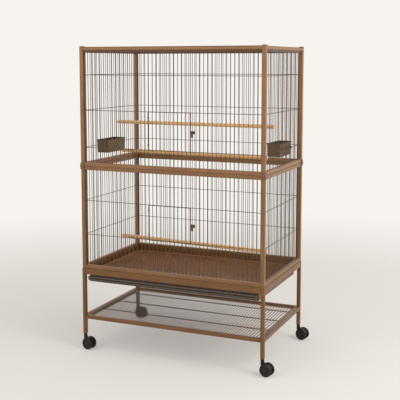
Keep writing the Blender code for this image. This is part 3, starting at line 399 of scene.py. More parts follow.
MATERIALS = {
    "tube": powder_coat("tube_powder_coat", srgb(141, 100, 64)),
    # painted shade: a darker copy of the tube coat for the posts and rails of the lower storey
    "tube_low_shaded": powder_coat("lower_tube_painted_shade_coat", srgb(130, 92, 55)),
    # painted shade and warm floor bounce: a darker, warmer copy of the tube coat for the legs, stand rails
    # and shelf frame
    "stand": powder_coat("stand_painted_shade_coat", srgb(118, 79, 40)),
    # painted shade: much darker than the tube coat, for the recessed strip under each top rail, where there
    # is only shade; the long shelf wires also take this coat
    "rail": powder_coat("strip_painted_shade_coat", srgb(88, 58, 34), 0.46),
    "wire": powder_coat("wire_powder_coat", srgb(86, 65, 46), 0.36, 0.25, 0.5),
    "sheet": powder_coat("sheet_powder_coat", srgb(104, 68, 40), 0.42),
    "shelf_wire": powder_coat("shelf_wire_coat", srgb(104, 66, 38), 0.42, 0.10, 0.6),
    "grille": powder_coat("grille_wire_coat", srgb(164, 116, 74), 0.46, 0.10, 0.5),
    "bracket": moulded("bracket_plastic", srgb(120, 78, 48), 0.42),
    "tray": moulded("tray_plastic", srgb(62, 46, 32), 0.26, 0.08, 900.0, 0.00005, 0.3),
    "cup": moulded("cup_plastic", srgb(92, 70, 40), 0.38),
    # painted shade: near-black for the inside faces of the cups, which the lamps would otherwise light from
    # above
    "cup_painted_shade": moulded("cup_inside_painted_shade", srgb(30, 20, 13), 0.70),
    "caster": moulded("caster_plastic", srgb(28, 20, 12), 0.38, 0.12, specular=0.3),
    "tread": moulded("wheel_plastic", srgb(30, 22, 13), 0.44, 0.14, specular=0.3),
    "hub": moulded("hub_plastic", srgb(40, 31, 21), 0.30, 0.10, specular=0.35),
    "steel": zinc_steel("zinc_steel"),
    "perch": dowel_wood("dowel_wood"),
}
# the upper storey takes the plain tube coat, the lower one the darker copy with painted shade
TUBE_COAT_AND_SHADE = {"upper": "tube", "lower": "tube_low_shaded"}


# Mesh helpers
def new_object(name, data):
    made = bpy.data.objects.new(name, data)
    bpy.context.scene.collection.objects.link(made)
    return made


class Shape:
    """Gathers the points and faces of one piece before its mesh is made."""

    def __init__(self):
        self.points = []
        self.faces = []
        self.kinds = []

    def add_faces(self, faces, kind):
        self.faces.extend(faces)
        self.kinds.extend([kind] * len(faces))

    def skin(self, loops, kind=0, ring=False):
        """Skin between loops of equally many points, closed at its ends or back on itself."""
        first = len(self.points)
        count = len(loops[0])
        rows = len(loops)
        for loop in loops:
            self.points.extend(loop)
        faces = []
        for row in range(rows if ring else rows - 1):
            a = first + row * count
            b = first + (row + 1) % rows * count
            for i in range(count):
                j = (i + 1) % count
                faces.append((a + i, a + j, b + j, b + i))
        if not ring:
            faces.append(tuple(range(first, first + count))[::-1])
            faces.append(tuple(range(first + (rows - 1) * count, first + rows * count)))
        self.add_faces(faces, kind)

    def turned(self, profile, to_world, segments, kind=0):
        """Turn (radius, height) points about an axis. A radius of 0 closes an end."""
        rings = []
        for radius, height in profile:
            start = len(self.points)
            if radius == 0:
                self.points.append(to_world(0.0, 0.0, height))
                rings.append([start] * segments)
                continue
            for step in range(segments):
                angle = 2 * math.pi * step / segments
                self.points.append(to_world(radius * math.cos(angle), radius * math.sin(angle), height))
            rings.append([start + step for step in range(segments)])
        faces = []
        for one, two in zip(rings, rings[1:]):
            for i in range(segments):
                j = (i + 1) % segments
                face = tuple(dict.fromkeys((one[i], one[j], two[j], two[i])))
                if len(face) > 2:
                    faces.append(face)
        self.add_faces(faces, kind)


def rounded(half_a, half_b, radius, steps=3):
    """Outline of a rectangle with round corners, as (a, b) points about its middle."""
    points = []
    for turn, (sign_a, sign_b) in enumerate(((1, 1), (-1, 1), (-1, -1), (1, -1))):
        for step in range(steps + 1):
            angle = (turn + step / steps) * math.pi / 2
            a = sign_a * (half_a - radius) + radius * math.cos(angle)
            b = sign_b * (half_b - radius) + radius * math.sin(angle)
            points.append((a, b))
    return points


def bar(shape, low, high, place=in_place, corner=TUBE_CORNER, bevel=0.0004, kind=0):
    """Bar with round long edges between two corners. It runs along its longest side."""
    size = [high[i] - low[i] for i in range(3)]
    axis = size.index(max(size))
    a, b = (axis + 1) % 3, (axis + 2) % 3
    corner = min(corner, 0.42 * min(size[a], size[b]))
    bevel = min(bevel, 0.5 * corner)
    ends = ((low[axis], bevel), (low[axis] + bevel, 0.0), (high[axis] - bevel, 0.0), (high[axis], bevel))
    loops = []
    for along, inset in ends:
        loop = []
        for p, q in rounded(size[a] / 2 - inset, size[b] / 2 - inset, corner - inset):
            point = [0.0, 0.0, 0.0]
            point[axis] = along
            point[a] = (low[a] + high[a]) / 2 + p
            point[b] = (low[b] + high[b]) / 2 + q
            loop.append(place(*point))
        loops.append(loop)
    shape.skin(loops, kind)


def rod(shape, path, radius, closed=False, sides=10, kind=0):
    """Round rod along a path of points, closed at its ends or back on itself."""
    count = len(path)
    tangents = []
    for i in range(count):
        before = path[(i - 1) % count] if closed or i else path[i]
        after = path[(i + 1) % count] if closed or i < count - 1 else path[i]
        tangents.append((after - before).normalized())
    guide = Vector((0.0, 0.0, 1.0)) if abs(tangents[0].z) < 0.9 else Vector((1.0, 0.0, 0.0))
    side = tangents[0].cross(guide).normalized()
    loops = []
    for i, (point, along) in enumerate(zip(path, tangents)):
        side = (side - along * side.dot(along)).normalized()
        other = along.cross(side)
        # a corner's section is wider, so that the rod keeps its thickness
        bend = None
        if closed or 0 < i < count - 1:
            ahead = (path[(i + 1) % count] - point).normalized()
            stretch = 1 / max(0.5, ahead.dot(along))
            bend = ahead - along * ahead.dot(along)
            bend = bend.normalized() if bend.length > 1e-6 else None
        loop = []
        for step in range(sides):
            angle = 2 * math.pi * (step + 0.5) / sides
            out = side * math.cos(angle) + other * math.sin(angle)
            if bend is not None:
                out += bend * out.dot(bend) * (stretch - 1)
            loop.append(point + out * radius)
        loops.append(loop)
    shape.skin(loops, kind, ring=closed)


def straight(shape, start, end, radius=WIRE / 2, place=in_place, kind=0, sides=10):
    rod(shape, [place(*start), place(*end)], radius, sides=sides, kind=kind)


def rod_frame(shape, left, right, low, high, middle, radius, corner, place):
    """Rectangle bent from one rod, with round corners."""
    path = []
    for u, z in rounded((right - left) / 2, (high - low) / 2, corner, 4):
        path.append(place((left + right) / 2 + u, middle, (low + high) / 2 + z))
    rod(shape, path, radius, closed=True)


def inset_outline(outline, amount):
    """The outline moved inwards by `amount`."""
    count = len(outline)
    area = sum(a * d - c * b for (a, b), (c, d) in zip(outline, outline[1:] + outline[:1]))
    turn = 1 if area > 0 else -1
    moved = []
    for i in range(count):
        before, here, after = (Vector(outline[(i + k) % count]) for k in (-1, 0, 1))
        one, two = (here - before).normalized(), (after - here).normalized()
        normal = Vector((-one.y - two.y, one.x + two.x)) * turn
        if normal.length < 1e-9:
            moved.append(tuple(here))
            continue
        normal.normalize()
        edge = Vector((-one.y, one.x)) * turn
        moved.append(tuple(here + normal * (amount / max(0.4, normal.dot(edge)))))
    return moved


def slab(shape, outline, start, end, to_world, bevel, steps=1):
    """Push an outline of (a, b) points from `start` to `end`, with round or bevelled rims."""
    loops = []
    for base, sign in ((start, 1), (end, -1)):
        rim = []
        for step in range(steps + 1):
            angle = step / steps * math.pi / 2
            inset = bevel * (1 - math.sin(angle))
            depth = bevel * (1 - math.cos(angle))
            rim.append([to_world(a, b, base + sign * depth) for a, b in inset_outline(outline, inset)])
        loops += rim if sign > 0 else rim[::-1]
    shape.skin(loops)


def along_x(a, b, h):
    return Vector((h, a, b))


def along_z(x, y):
    return lambda a, b, h: Vector((x + a, y + b, h))


def from_front(x, z):
    """Heights count outwards from the middle of the front panels."""
    return lambda a, b, h: Vector((x + a, -PANEL_Y - h, z + b))


def piece(name, shape, body, replaced, materials, sharp=38.0, placed=None):
    """Make the object of one piece. It rides on `body` and stands for the nodes `replaced`.

    A shape that was made lying at the origin is put in its place by the matrix `placed`.
    """
    mesh = bpy.data.meshes.new(name)
    shift = Vector() if placed else CENTRE
    mesh.from_pydata([point + shift for point in shape.points], [], shape.faces)
    for key in materials:
        mesh.materials.append(MATERIALS[key])
    mesh.polygons.foreach_set("material_index", shape.kinds)
    work = bmesh.new()
    work.from_mesh(mesh)
    bmesh.ops.recalc_face_normals(work, faces=work.faces)
    work.to_mesh(mesh)
    work.free()
    mesh.shade_smooth()
    mesh.set_sharp_from_angle(angle=math.radians(sharp))
    made = new_object(name, mesh)
    if placed:
        made.matrix_world = placed
    weighted = made.modifiers.new("weighted_normals", "WEIGHTED_NORMAL")
    weighted.keep_sharp = True
    weighted.weight = 60
    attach(made, body)
    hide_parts(*replaced)


# Wire panels
def storey(level):
    """Foot, top of the posts, foot and top of the upper rail, cross wires and their datum."""
    if level == "upper":
        rail_top = ROOF_BASE_Z - TOUCH
        return SPLIT_Z + TOUCH, CAGE_TOP_Z, rail_top - TOP_RAIL_HEIGHT, rail_top, UPPER_CROSS_WIRES, SPLIT_Z
    return STAND_HEIGHT + TOUCH, SPLIT_Z, SPLIT_Z - RAIL, SPLIT_Z, LOWER_CROSS_WIRES, STAND_HEIGHT


def cross_wires(shape, level, end, place):
    heights, level_z = storey(level)[4:]
    for height in heights:
        z = level_z + height
        straight(shape, (-end, CROSS_WIRE_INWARD, z), (end, CROSS_WIRE_INWARD, z), place=place)


def side_frame(level, side, place):
    foot, post_top, rail_foot, rail_top = storey(level)[:4]
    half_post, half_rail = POST / 2, RAIL / 2
    post_u = CAGE_DEPTH / 2 - half_post
    reach = SIDE_SPAN / 2
    tubes = Shape()
    for s in (-1, 1):
        low = (s * post_u - half_post, -half_post, foot)
        bar(tubes, low, (s * post_u + half_post, half_post, post_top), place)
    bar(tubes, (-reach, -half_rail, foot + TOUCH), (reach, half_rail, foot + RAIL), place, bevel=0.0)
    bar(tubes, (-reach, -half_rail, rail_foot), (reach, half_rail, rail_top - TOUCH), place, bevel=0.0)
    wire_top = rail_foot
    if level == "upper":
        wire_top = rail_foot - TOP_STRIP_HEIGHT
        half = half_rail - TOP_STRIP_RECESS
        low = (-reach, -half, wire_top)
        # the recessed strip under the top rail takes the dark coat of painted shade in slot 1
        bar(tubes, low, (reach, half, rail_foot + WELD), place, TOP_STRIP_CORNER, 0.0, kind=1)
    name = f"{level}_{side}"
    piece(f"{name}_tubes", tubes, "cage", [f"{name}_side"], [TUBE_COAT_AND_SHADE[level], "rail"])
    wires = Shape()
    for index in range(1, SIDE_BAYS):
        u = side_wire_y(index)
        straight(wires, (u, 0.0, foot + RAIL - WELD), (u, 0.0, wire_top + WELD), place=place)
    cross_wires(wires, level, reach + WELD, place)
    piece(f"{name}_wires", wires, "cage", [f"{name}_side"], ["wire"])


def door_edges(level):
    """Left, right, low and high door edges."""
    heights, level_z = storey(level)[4:]
    left, right = front_wire_x(DOOR_FIRST_WIRE), front_wire_x(DOOR_LAST_WIRE)
    return left, right, level_z + heights[0], level_z + heights[1]


def latch_pivot(level):
    _, right, low, high = door_edges(level)
    return right + FRONT_SPAN / FRONT_BAYS / 2, (low + high) / 2


def wall_panel(level, side, place):
    foot, _, rail_foot, rail_top = storey(level)[:4]
    half_rail = RAIL / 2
    reach = FRONT_SPAN / 2 - TOUCH
    node_name = f"{level}_{side}_panel"
    rails = Shape()
    bar(rails, (-reach, -half_rail, foot), (reach, half_rail, foot + RAIL), place)
    bar(rails, (-reach, -half_rail, rail_foot), (reach, half_rail, rail_top), place)
    wire_top = rail_foot
    if level == "upper":
        wire_top = rail_foot - TOP_STRIP_HEIGHT
        half = half_rail - TOP_STRIP_RECESS
        low, high = (TOUCH - reach, -half, wire_top), (reach - TOUCH, half, rail_foot + WELD)
        # the recessed strip under the top rail takes the dark coat of painted shade in slot 1
        bar(rails, low, high, place, TOP_STRIP_CORNER, kind=1)
    piece(f"{level}_{side}_rails", rails, "cage", [node_name], [TUBE_COAT_AND_SHADE[level], "rail"])

    wires = Shape()
    wire_foot = foot + RAIL - WELD
    for s in (-1, 1):
        near, far = sorted((s * (reach - TOUCH), s * (reach - EDGE_BAR_WIDTH)))
        high = (far, EDGE_BAR_DEPTH - WIRE / 2, wire_top + WELD)
        bar(wires, (near, -WIRE / 2, wire_foot), high, place, EDGE_BAR_CORNER)
    with_door = side == "front"
    if with_door:
        left, right, low, high = door_edges(level)
        rod_frame(wires, left, right, low, high, 0.0, DOOR_BAR / 2, DOOR_CORNER / 2, place)
    for index in range(1, FRONT_BAYS):
        u = front_wire_x(index)
        spans = [(wire_foot, wire_top + WELD)]
        if with_door and DOOR_FIRST_WIRE <= index <= DOOR_LAST_WIRE:
            cut = DOOR_CORNER if index in (DOOR_FIRST_WIRE, DOOR_LAST_WIRE) else 0.0
            spans = [(wire_foot, low + cut), (high - cut, wire_top + WELD)]
        for bottom, top in spans:
            straight(wires, (u, 0.0, bottom), (u, 0.0, top), place=place)
    cross_wires(wires, level, reach - EDGE_BAR_WIDTH + WELD, place)
    piece(f"{level}_{side}_wires", wires, "cage", [node_name], ["wire"])


def door_fittings(level):
    """Hinge clips round the two rods, and the plate and pin of the latch."""
    left, _, low, high = door_edges(level)
    hole = DOOR_BAR / 2 + PIN_PLAY
    outer = hole + HINGE_LOOP_WALL
    clips = Shape()
    half = HINGE_LOOP_HEIGHT / 2
    for z in (low + HINGE_LOOP_INSET, high - HINGE_LOOP_INSET):
        loops = []
        for radius, height in ((outer, -half), (outer, half), (hole, half), (hole, -half)):
            loop = []
            for centre, first in ((DOOR_STANDOFF, -math.pi / 2), (0.0, math.pi / 2)):
                for step in range(9):
                    angle = first + math.pi * step / 8
                    out = centre + radius * math.cos(angle)
                    loop.append(Vector((left + radius * math.sin(angle), -PANEL_Y - out, z + height)))
            loops.append(loop)
        clips.skin(loops, ring=True)
    x, z = latch_pivot(level)
    half_u = FRONT_SPAN / FRONT_BAYS / 2
    back = DOOR_STANDOFF + DOOR_BAR / 2 + TOUCH
    head = back + LATCH_THICK + TOUCH
    outline = rounded(half_u, LATCH_PLATE_HEIGHT / 2, LATCH_PLATE_CORNER)
    slab(clips, outline, -LATCH_PLATE_THICK / 2, LATCH_PLATE_THICK / 2, from_front(x, z), 0.0003)
    pin, rim = LATCH_PIN_RADIUS, LATCH_HEAD_RADIUS
    profile = [(0, 0.0), (pin, 0.0), (pin, head), (rim - 0.0002, head), (rim, head + 0.0002)]
    for share, rise in ((0.93, 0.6), (0.7, 0.87), (0.35, 0.98), (0.0, 1.0)):
        profile.append((rim * share, head + LATCH_HEAD_THICK * rise))
    pins = Shape()
    pins.turned(profile, from_front(x, z), 24)
    piece(f"{level}_hinge_clips", clips, "cage", [f"{level}_front_panel"], ["wire"])
    piece(f"{level}_latch_pin", pins, "cage", [f"{level}_front_panel"], ["wire"])


def door(level):
    left, right, low, high = door_edges(level)
    middle = -DOOR_STANDOFF
    shape = Shape()
    rod_frame(shape, left, right, low, high, middle, DOOR_BAR / 2, DOOR_CORNER, on_front)
    for index in range(DOOR_FIRST_WIRE + 1, DOOR_LAST_WIRE):
        u = front_wire_x(index)
        straight(shape, (u, middle, low), (u, middle, high), place=on_front)
    piece(f"{level}_door_wires", shape, f"{level}_door", [f"{level}_door"], ["wire"])


def latch(level):
    x, z = latch_pivot(level)
    back = DOOR_STANDOFF + DOOR_BAR / 2 + TOUCH
    face = back + LATCH_THICK
    half = LATCH_WIDTH / 2
    foot = half - LATCH_LENGTH
    outline = []
    for start, middle, share in ((0.0, 0.0, 1.0), (math.pi, foot, LATCH_FOOT_ROUND)):
        for step in range(11):
            angle = start + step * math.pi / 10
            outline.append((half * math.cos(angle), middle + half * share * math.sin(angle)))
    shape = Shape()
    slab(shape, outline, back, face, from_front(x, z), 0.0005, 3)
    # a raised finger grip near the free end
    grip = [(0.0022, face - 0.0002), (0.0019, face + 0.0002), (0, face + 0.0003)]
    shape.turned(grip, from_front(x, z + foot + LATCH_GRIP_RISE), 20)
    piece(f"{level}_latch_tab", shape, f"{level}_latch", [f"{level}_latch"], ["wire"])


def roof_panel():
    reach_x = FRONT_SPAN / 2 - TOUCH
    reach_y = SIDE_SPAN / 2 + ROOF_SEAT
    top = CAGE_TOP_Z
    shape = Shape()
    reach = reach_y - ROOF_ROD + WELD
    end_rods = (
        (SIDE_SPAN / 2 - TOUCH, top - ROOF_END_ROD_DEPTH, top - TOUCH),
        (reach, ROOF_BASE_Z + TOUCH, top - 2 * TOUCH),
    )
    for side in (-1, 1):
        near, far = sorted((side * reach_y, side * (reach_y - ROOF_ROD)))
        bar(shape, (-reach_x, near, ROOF_BASE_Z), (reach_x, far, top), corner=ROD_CORNER, kind=1)
        near, far = sorted((side * (reach_x - TOUCH), side * (reach_x - ROOF_ROD)))
        for end, low_z, high_z in end_rods:
            bar(shape, (near, -end, low_z), (far, end, high_z), corner=ROD_CORNER, kind=1)
    half = ROOF_WIRE / 2
    wire_z = top - 2 * TOUCH - half
    long_z = wire_z - ROOF_WIRE + WIRE_SINK
    for index in range(1, FRONT_BAYS):
        x = front_wire_x(index)
        straight(shape, (x, -reach, wire_z), (x, reach, wire_z), half)
    end = reach_x - ROOF_ROD + WELD
    for index in range(1, ROOF_LONG_WIRES + 1):
        y = -SIDE_SPAN / 2 + index * SIDE_SPAN / (ROOF_LONG_WIRES + 1)
        straight(shape, (-end, y, long_z), (end, y, long_z), half)
    piece("roof_wires", shape, "cage", ["roof_panel"], ["wire", "tube"])


def post_cap(corner, side_x, side_y):
    to_world = along_z(side_x * PANEL_X, side_y * PANEL_Y)
    half = POST / 2
    foot = CAGE_TOP_Z + TOUCH
    shape = Shape()
    loops = []
    for share, inset in (
        (0.0, 0.0004), (0.12, 0.0), (0.45, 0.0), (0.70, 0.0006), (0.90, 0.0016), (1.0, CAP_TOP_INSET),
    ):
        outline = rounded(half - inset, half - inset, max(0.0012, TUBE_CORNER - inset / 2), 4)
        loops.append([to_world(a, b, foot + share * CAP_HEIGHT) for a, b in outline])
    shape.skin(loops)
    piece(f"post_plug_{corner}", shape, "cage", [f"post_cap_{corner}"], ["bracket"])


def corner_bracket(corner, side_x, side_y):
    """Angle round the joint of the storeys, with a ridge at half height and round edges."""
    inner_x, inner_y = CAGE_WIDTH / 2 + TOUCH, CAGE_DEPTH / 2 + TOUCH
    end_x, end_y = CAGE_WIDTH / 2 - POST, CAGE_DEPTH / 2 - POST
    half = BRACKET_HEIGHT / 2
    edge = BRACKET_EDGE
    # how far the face stands out at heights from the rim to the ridge
    profile = [
        (half, -0.0007), (half - 0.0003, -0.0002), (half - 0.0010, 0.0), (0.0050, 0.0),
        (0.0034, 0.0004), (0.0022, 0.0013), (0.0009, BRACKET_RIDGE),
    ]
    shape = Shape()
    loops = []
    for height, proud in [(-height, proud) for height, proud in profile] + profile[::-1]:
        wall = BRACKET_WALL + proud
        out_x, out_y = inner_x + wall, inner_y + wall
        outline = [(end_x, inner_y + wall - edge), (end_x + edge, out_y)]
        for step in range(5):
            angle = math.pi / 2 * (1 - step / 4)
            across, back = 1 - math.cos(angle), 1 - math.sin(angle)
            outline.append((out_x - BRACKET_ROUND * across, out_y - BRACKET_ROUND * back))
        outline += [(out_x, end_y + edge), (out_x - edge, end_y), (inner_x, end_y)]
        outline += [(inner_x, inner_y), (end_x, inner_y)]
        loops.append([Vector((side_x * x, side_y * y, SPLIT_Z + height)) for x, y in outline])
    shape.skin(loops)
    piece(f"corner_angle_{corner}", shape, "cage", [f"corner_bracket_{corner}"], ["bracket"])


# Stand
def leg(corner, side_x, side_y):
    to_world = along_z(side_x * LEG_X, side_y * LEG_Y)
    shape = Shape()
    outer, inner, bevel = LEG / 2, LEG / 2 - LEG_WALL, LEG_BEVEL
    loops = []
    for half, radius, z in (
        (outer - bevel, TUBE_CORNER - bevel, CASTER_HEIGHT),
        (outer, TUBE_CORNER, CASTER_HEIGHT + bevel),
        (outer, TUBE_CORNER, STAND_HEIGHT - bevel),
        (outer - bevel, TUBE_CORNER - bevel, STAND_HEIGHT),
        (inner, TUBE_CORNER / 2, STAND_HEIGHT),
        (inner, TUBE_CORNER / 2, CASTER_HEIGHT),
    ):
        loops.append([to_world(a, b, z) for a, b in rounded(half, half, radius)])
    shape.skin(loops, ring=True)
    piece(f"leg_tube_{corner}", shape, "cage", [f"leg_{corner}"], ["stand"])


def stand_rails():
    reach_x = STAND_X - LEG - TOUCH
    reach_y = STAND_Y - LEG - TOUCH
    low_z, high_z = STAND_RAIL_FOOT_Z, STAND_HEIGHT
    corners = {
        "front": ((-reach_x, -STAND_Y, low_z), (reach_x, STAND_RAIL - STAND_Y, high_z)),
        "back": ((-reach_x, STAND_Y - STAND_RAIL, low_z), (reach_x, STAND_Y, high_z)),
        "left": ((-STAND_X, -reach_y, low_z), (STAND_RAIL - STAND_X, reach_y, high_z)),
        "right": ((STAND_X - STAND_RAIL, -reach_y, low_z), (STAND_X, reach_y, high_z)),
    }
    for side, (low, high) in corners.items():
        shape = Shape()
        bar(shape, low, high)
        piece(f"stand_tube_{side}", shape, "cage", [f"stand_rail_{side}"], ["stand"])


def storage_shelf():
    reach_x = STAND_X - LEG - TOUCH
    reach_y = STAND_Y - LEG - TOUCH
    low_z, high_z = SHELF_HEIGHT, SHELF_HEIGHT + SHELF_TUBE
    inner_y, inner_x = STAND_Y - SHELF_TUBE, STAND_X - SHELF_TUBE
    shape = Shape()
    for side in (-1, 1):
        near, far = sorted((side * STAND_Y, side * inner_y))
        bar(shape, (-reach_x, near, low_z), (reach_x, far, high_z))
        near, far = sorted((side * STAND_X, side * inner_x))
        bar(shape, (near, -reach_y, low_z), (far, reach_y, high_z))
        near, far = sorted((side * min(inner_x + WELD, reach_x), side * (inner_x - SHELF_BAR)))
        low, high = (near, -inner_y - WELD, low_z + WELD), (far, inner_y + WELD, high_z - WELD)
        bar(shape, low, high, corner=ROD_CORNER)
    size, cut = SHELF_GUSSET, SHELF_GUSSET_CUT
    x, y = reach_x - TOUCH, inner_y
    outline = [(x, y), (x - size, y), (x - size + cut, y - cut), (x - cut, y - size + cut), (x, y - size)]
    for side_x, side_y in CORNERS.values():
        to_world = lambda a, b, h: Vector((side_x * a, side_y * b, h))
        slab(shape, outline, low_z + 3 * WELD, high_z - SHELF_WIRE_DROP + TOUCH, to_world, 0.0005)
    top = high_z - SHELF_WIRE_DROP
    half = SHELF_WIRE / 2
    for index in range(1, SHELF_BAYS):
        x = -inner_x + index * 2 * inner_x / SHELF_BAYS
        if abs(x) + half < inner_x - SHELF_BAR:
            straight(shape, (x, -inner_y - WELD, top - half), (x, inner_y + WELD, top - half), half, kind=1)
    long_half = SHELF_LONG_WIRE / 2
    end = inner_x - SHELF_BAR + WELD
    z = top - SHELF_WIRE - long_half + SHELF_WIRE_SINK
    for y in SHELF_LONG_WIRE_Y:
        straight(shape, (-end, y, z), (end, y, z), long_half, kind=2)
    piece("shelf_frame", shape, "cage", ["storage_shelf"], ["stand", "shelf_wire", "rail"])


def floor_grille():
    reach_x = RUNNER_WALL_X - RUNNER_SHEET - GRILLE_PLAY
    reach_y = STAND_Y - STAND_RAIL - GRILLE_PLAY
    rod_half = GRILLE_ROD / 2
    z = LEDGE_Z + TOUCH + rod_half
    shape = Shape()
    outline = rounded(reach_x - rod_half, reach_y - rod_half, GRILLE_CORNER, 5)
    rod(shape, [Vector((a, b, z)) for a, b in outline], rod_half, closed=True, sides=12)
    inner_x, inner_y = reach_x - GRILLE_ROD, reach_y - GRILLE_ROD
    half = GRILLE_WIRE / 2
    wire_z = z + rod_half - TOUCH - half
    for index in range(1, GRILLE_BAYS):
        x = -inner_x + index * 2 * inner_x / GRILLE_BAYS
        straight(shape, (x, -inner_y - WELD, wire_z), (x, inner_y + WELD, wire_z), half, sides=8)
    long_z = wire_z - GRILLE_WIRE + WIRE_SINK
    for index in range(1, GRILLE_LONG_BAYS):
        y = -inner_y + index * 2 * inner_y / GRILLE_LONG_BAYS
        straight(shape, (-inner_x - WELD, y, long_z), (inner_x + WELD, y, long_z), half, sides=8)
    piece("floor_mesh", shape, "cage", ["floor_grille"], ["grille"])


def slide_out_tray():
    """Shallow moulded tray with round corners, a rolled rim and a bullnosed front lip."""
    front_y = -STAND_Y - TRAY_LIP_PROUD + TRAY_LIP_DEPTH - TRAY_WALL
    back_y = STAND_Y - STAND_RAIL + TRAY_BACK_REACH
    low_z = TRAY_LEDGE_Z + TOUCH
    middle_y, half_y = (front_y + back_y) / 2, (back_y - front_y) / 2
    shape = Shape()
    loops = []
    wall, rim = TRAY_WALL, low_z + TRAY_DEPTH
    for inset, z in (
        (0.0060, low_z), (0.0030, low_z + 0.0006), (0.0012, low_z + 0.0024), (0.0004, low_z + 0.0050),
        (0.0004, rim - 0.0030), (0.0, rim - 0.0024), (0.0, rim - 0.0006), (0.0005, rim), (wall - 0.0003, rim),
        (wall + 0.0002, rim - 0.0005), (wall + 0.0004, low_z + 0.0070), (wall + 0.0014, low_z + 0.0042),
        (wall + 0.0032, low_z + 0.0026), (wall + 0.0060, low_z + 0.0020),
    ):
        outline = rounded(TRAY_X - inset, half_y - inset, TRAY_CORNER - inset, 5)
        loops.append([Vector((a, middle_y + b, z)) for a, b in outline])
    shape.skin(loops)
    near = -STAND_Y - TRAY_LIP_PROUD
    top = rim - TRAY_LIP_TOP
    foot = top - TRAY_LIP_HEIGHT
    outline = [(near + TRAY_LIP_DEPTH, foot), (near + TRAY_LIP_DEPTH, top)]
    groove_z = foot + TRAY_GROOVE_SHARE * TRAY_LIP_HEIGHT
    for low, high in ((groove_z + TRAY_GROOVE_HALF, top), (foot, groove_z - TRAY_GROOVE_HALF)):
        half = (high - low) / 2
        for step in range(13):
            angle = math.pi / 2 * (1 + step / 6)
            y = near + TRAY_LIP_ROLL + TRAY_LIP_ROLL * math.cos(angle)
            outline.append((y, (low + high) / 2 + half * math.sin(angle)))
    reach = TRAY_X + PLAY / 2
    slab(shape, outline, -reach, reach, along_x, 0.0008, 4)
    piece("tray_moulding", shape, "tray", ["slide_out_tray"], ["tray"])


# Casters
def caster(corner, side_x, side_y):
    x, y = side_x * LEG_X, side_y * LEG_Y
    turn = math.radians(CASTER_TURN)
    cos, sin = math.cos(turn), math.sin(turn)
    boss_top = CASTER_HEIGHT - TOUCH - STEM_COLLAR_HEIGHT - TOUCH

    def swung(a, b, z):
        return Vector((x + a * cos - b * sin, y + a * sin + b * cos, z))

    def arc(arc_radius, start, sweep):
        """Points about the axle, over `sweep` degrees from `start` on."""
        angles = [math.radians(start + sweep * step / 12) for step in range(13)]
        return [(CASTER_TRAIL + arc_radius * math.cos(a), AXLE_Z + arc_radius * math.sin(a)) for a in angles]

    hood = Shape()
    neck = HOOD_NECK_WIDTH / 2
    stem_side = [
        (neck, boss_top - BOSS_HEIGHT / 2), (neck, boss_top - WELD), (-neck, boss_top - WELD),
        (-neck, boss_top - BOSS_HEIGHT - neck),
    ]
    outline = arc(HOOD_RADIUS, *HOOD_OVER) + stem_side + arc(HOOD_HUB_RADIUS, *HOOD_UNDER)
    slab(hood, outline, -HOOD_THICK / 2, HOOD_THICK / 2, lambda a, b, h: swung(a, h, b), 0.0010, 3)
    boss_foot = boss_top - BOSS_HEIGHT
    boss = [
        (STEM_PIN_RADIUS + PIN_PLAY, boss_top), (BOSS_RADIUS - 0.0008, boss_top),
        (BOSS_RADIUS, boss_top - 0.0008), (BOSS_RADIUS, boss_foot + 0.0015),
        (BOSS_RADIUS - 0.0015, boss_foot), (0, boss_foot),
    ]
    hood.turned(boss, swung, 28)
    piece(f"caster_body_{corner}", hood, f"caster_{corner}", [f"caster_hood_{corner}"], ["caster"])

    radius, inner, outer = WHEEL_RADIUS, WHEEL_INNER_Y, WHEEL_OUTER_Y
    bore = AXLE_RADIUS + PIN_PLAY
    tread = [
        (bore, inner + 0.0060), (bore, inner), (0.0080, inner), (0.0090, inner + 0.0012),
        (radius - 0.0050, inner + 0.0012), (radius - 0.0040, inner), (radius - 0.0012, inner),
        (radius - 0.0003, inner + 0.0006), (radius, inner + 0.0018),
    ]
    tread += [(radius - inset, outer - depth) for inset, depth in WHEEL_TREAD]
    disc = [tread[-1], (radius - 0.0070, outer - 0.0018)]
    disc += [(reach, outer - depth) for reach, depth in WHEEL_DISC]
    hub = disc[-1:] + [(reach, outer - depth) for reach, depth in WHEEL_HUB]
    for label, side in (("front", -1), ("back", 1)):
        wheel = Shape()
        axis = lambda a, b, h: swung(CASTER_TRAIL + a, side * h, AXLE_Z + b)
        for kind, profile in enumerate((tread, disc, hub)):
            wheel.turned(profile, axis, WHEEL_SIDES, kind)
        name = f"wheel_{corner}_{label}"
        piece(name, wheel, name, [f"caster_{name}"], ["tread", "caster", "hub"], 30.0)


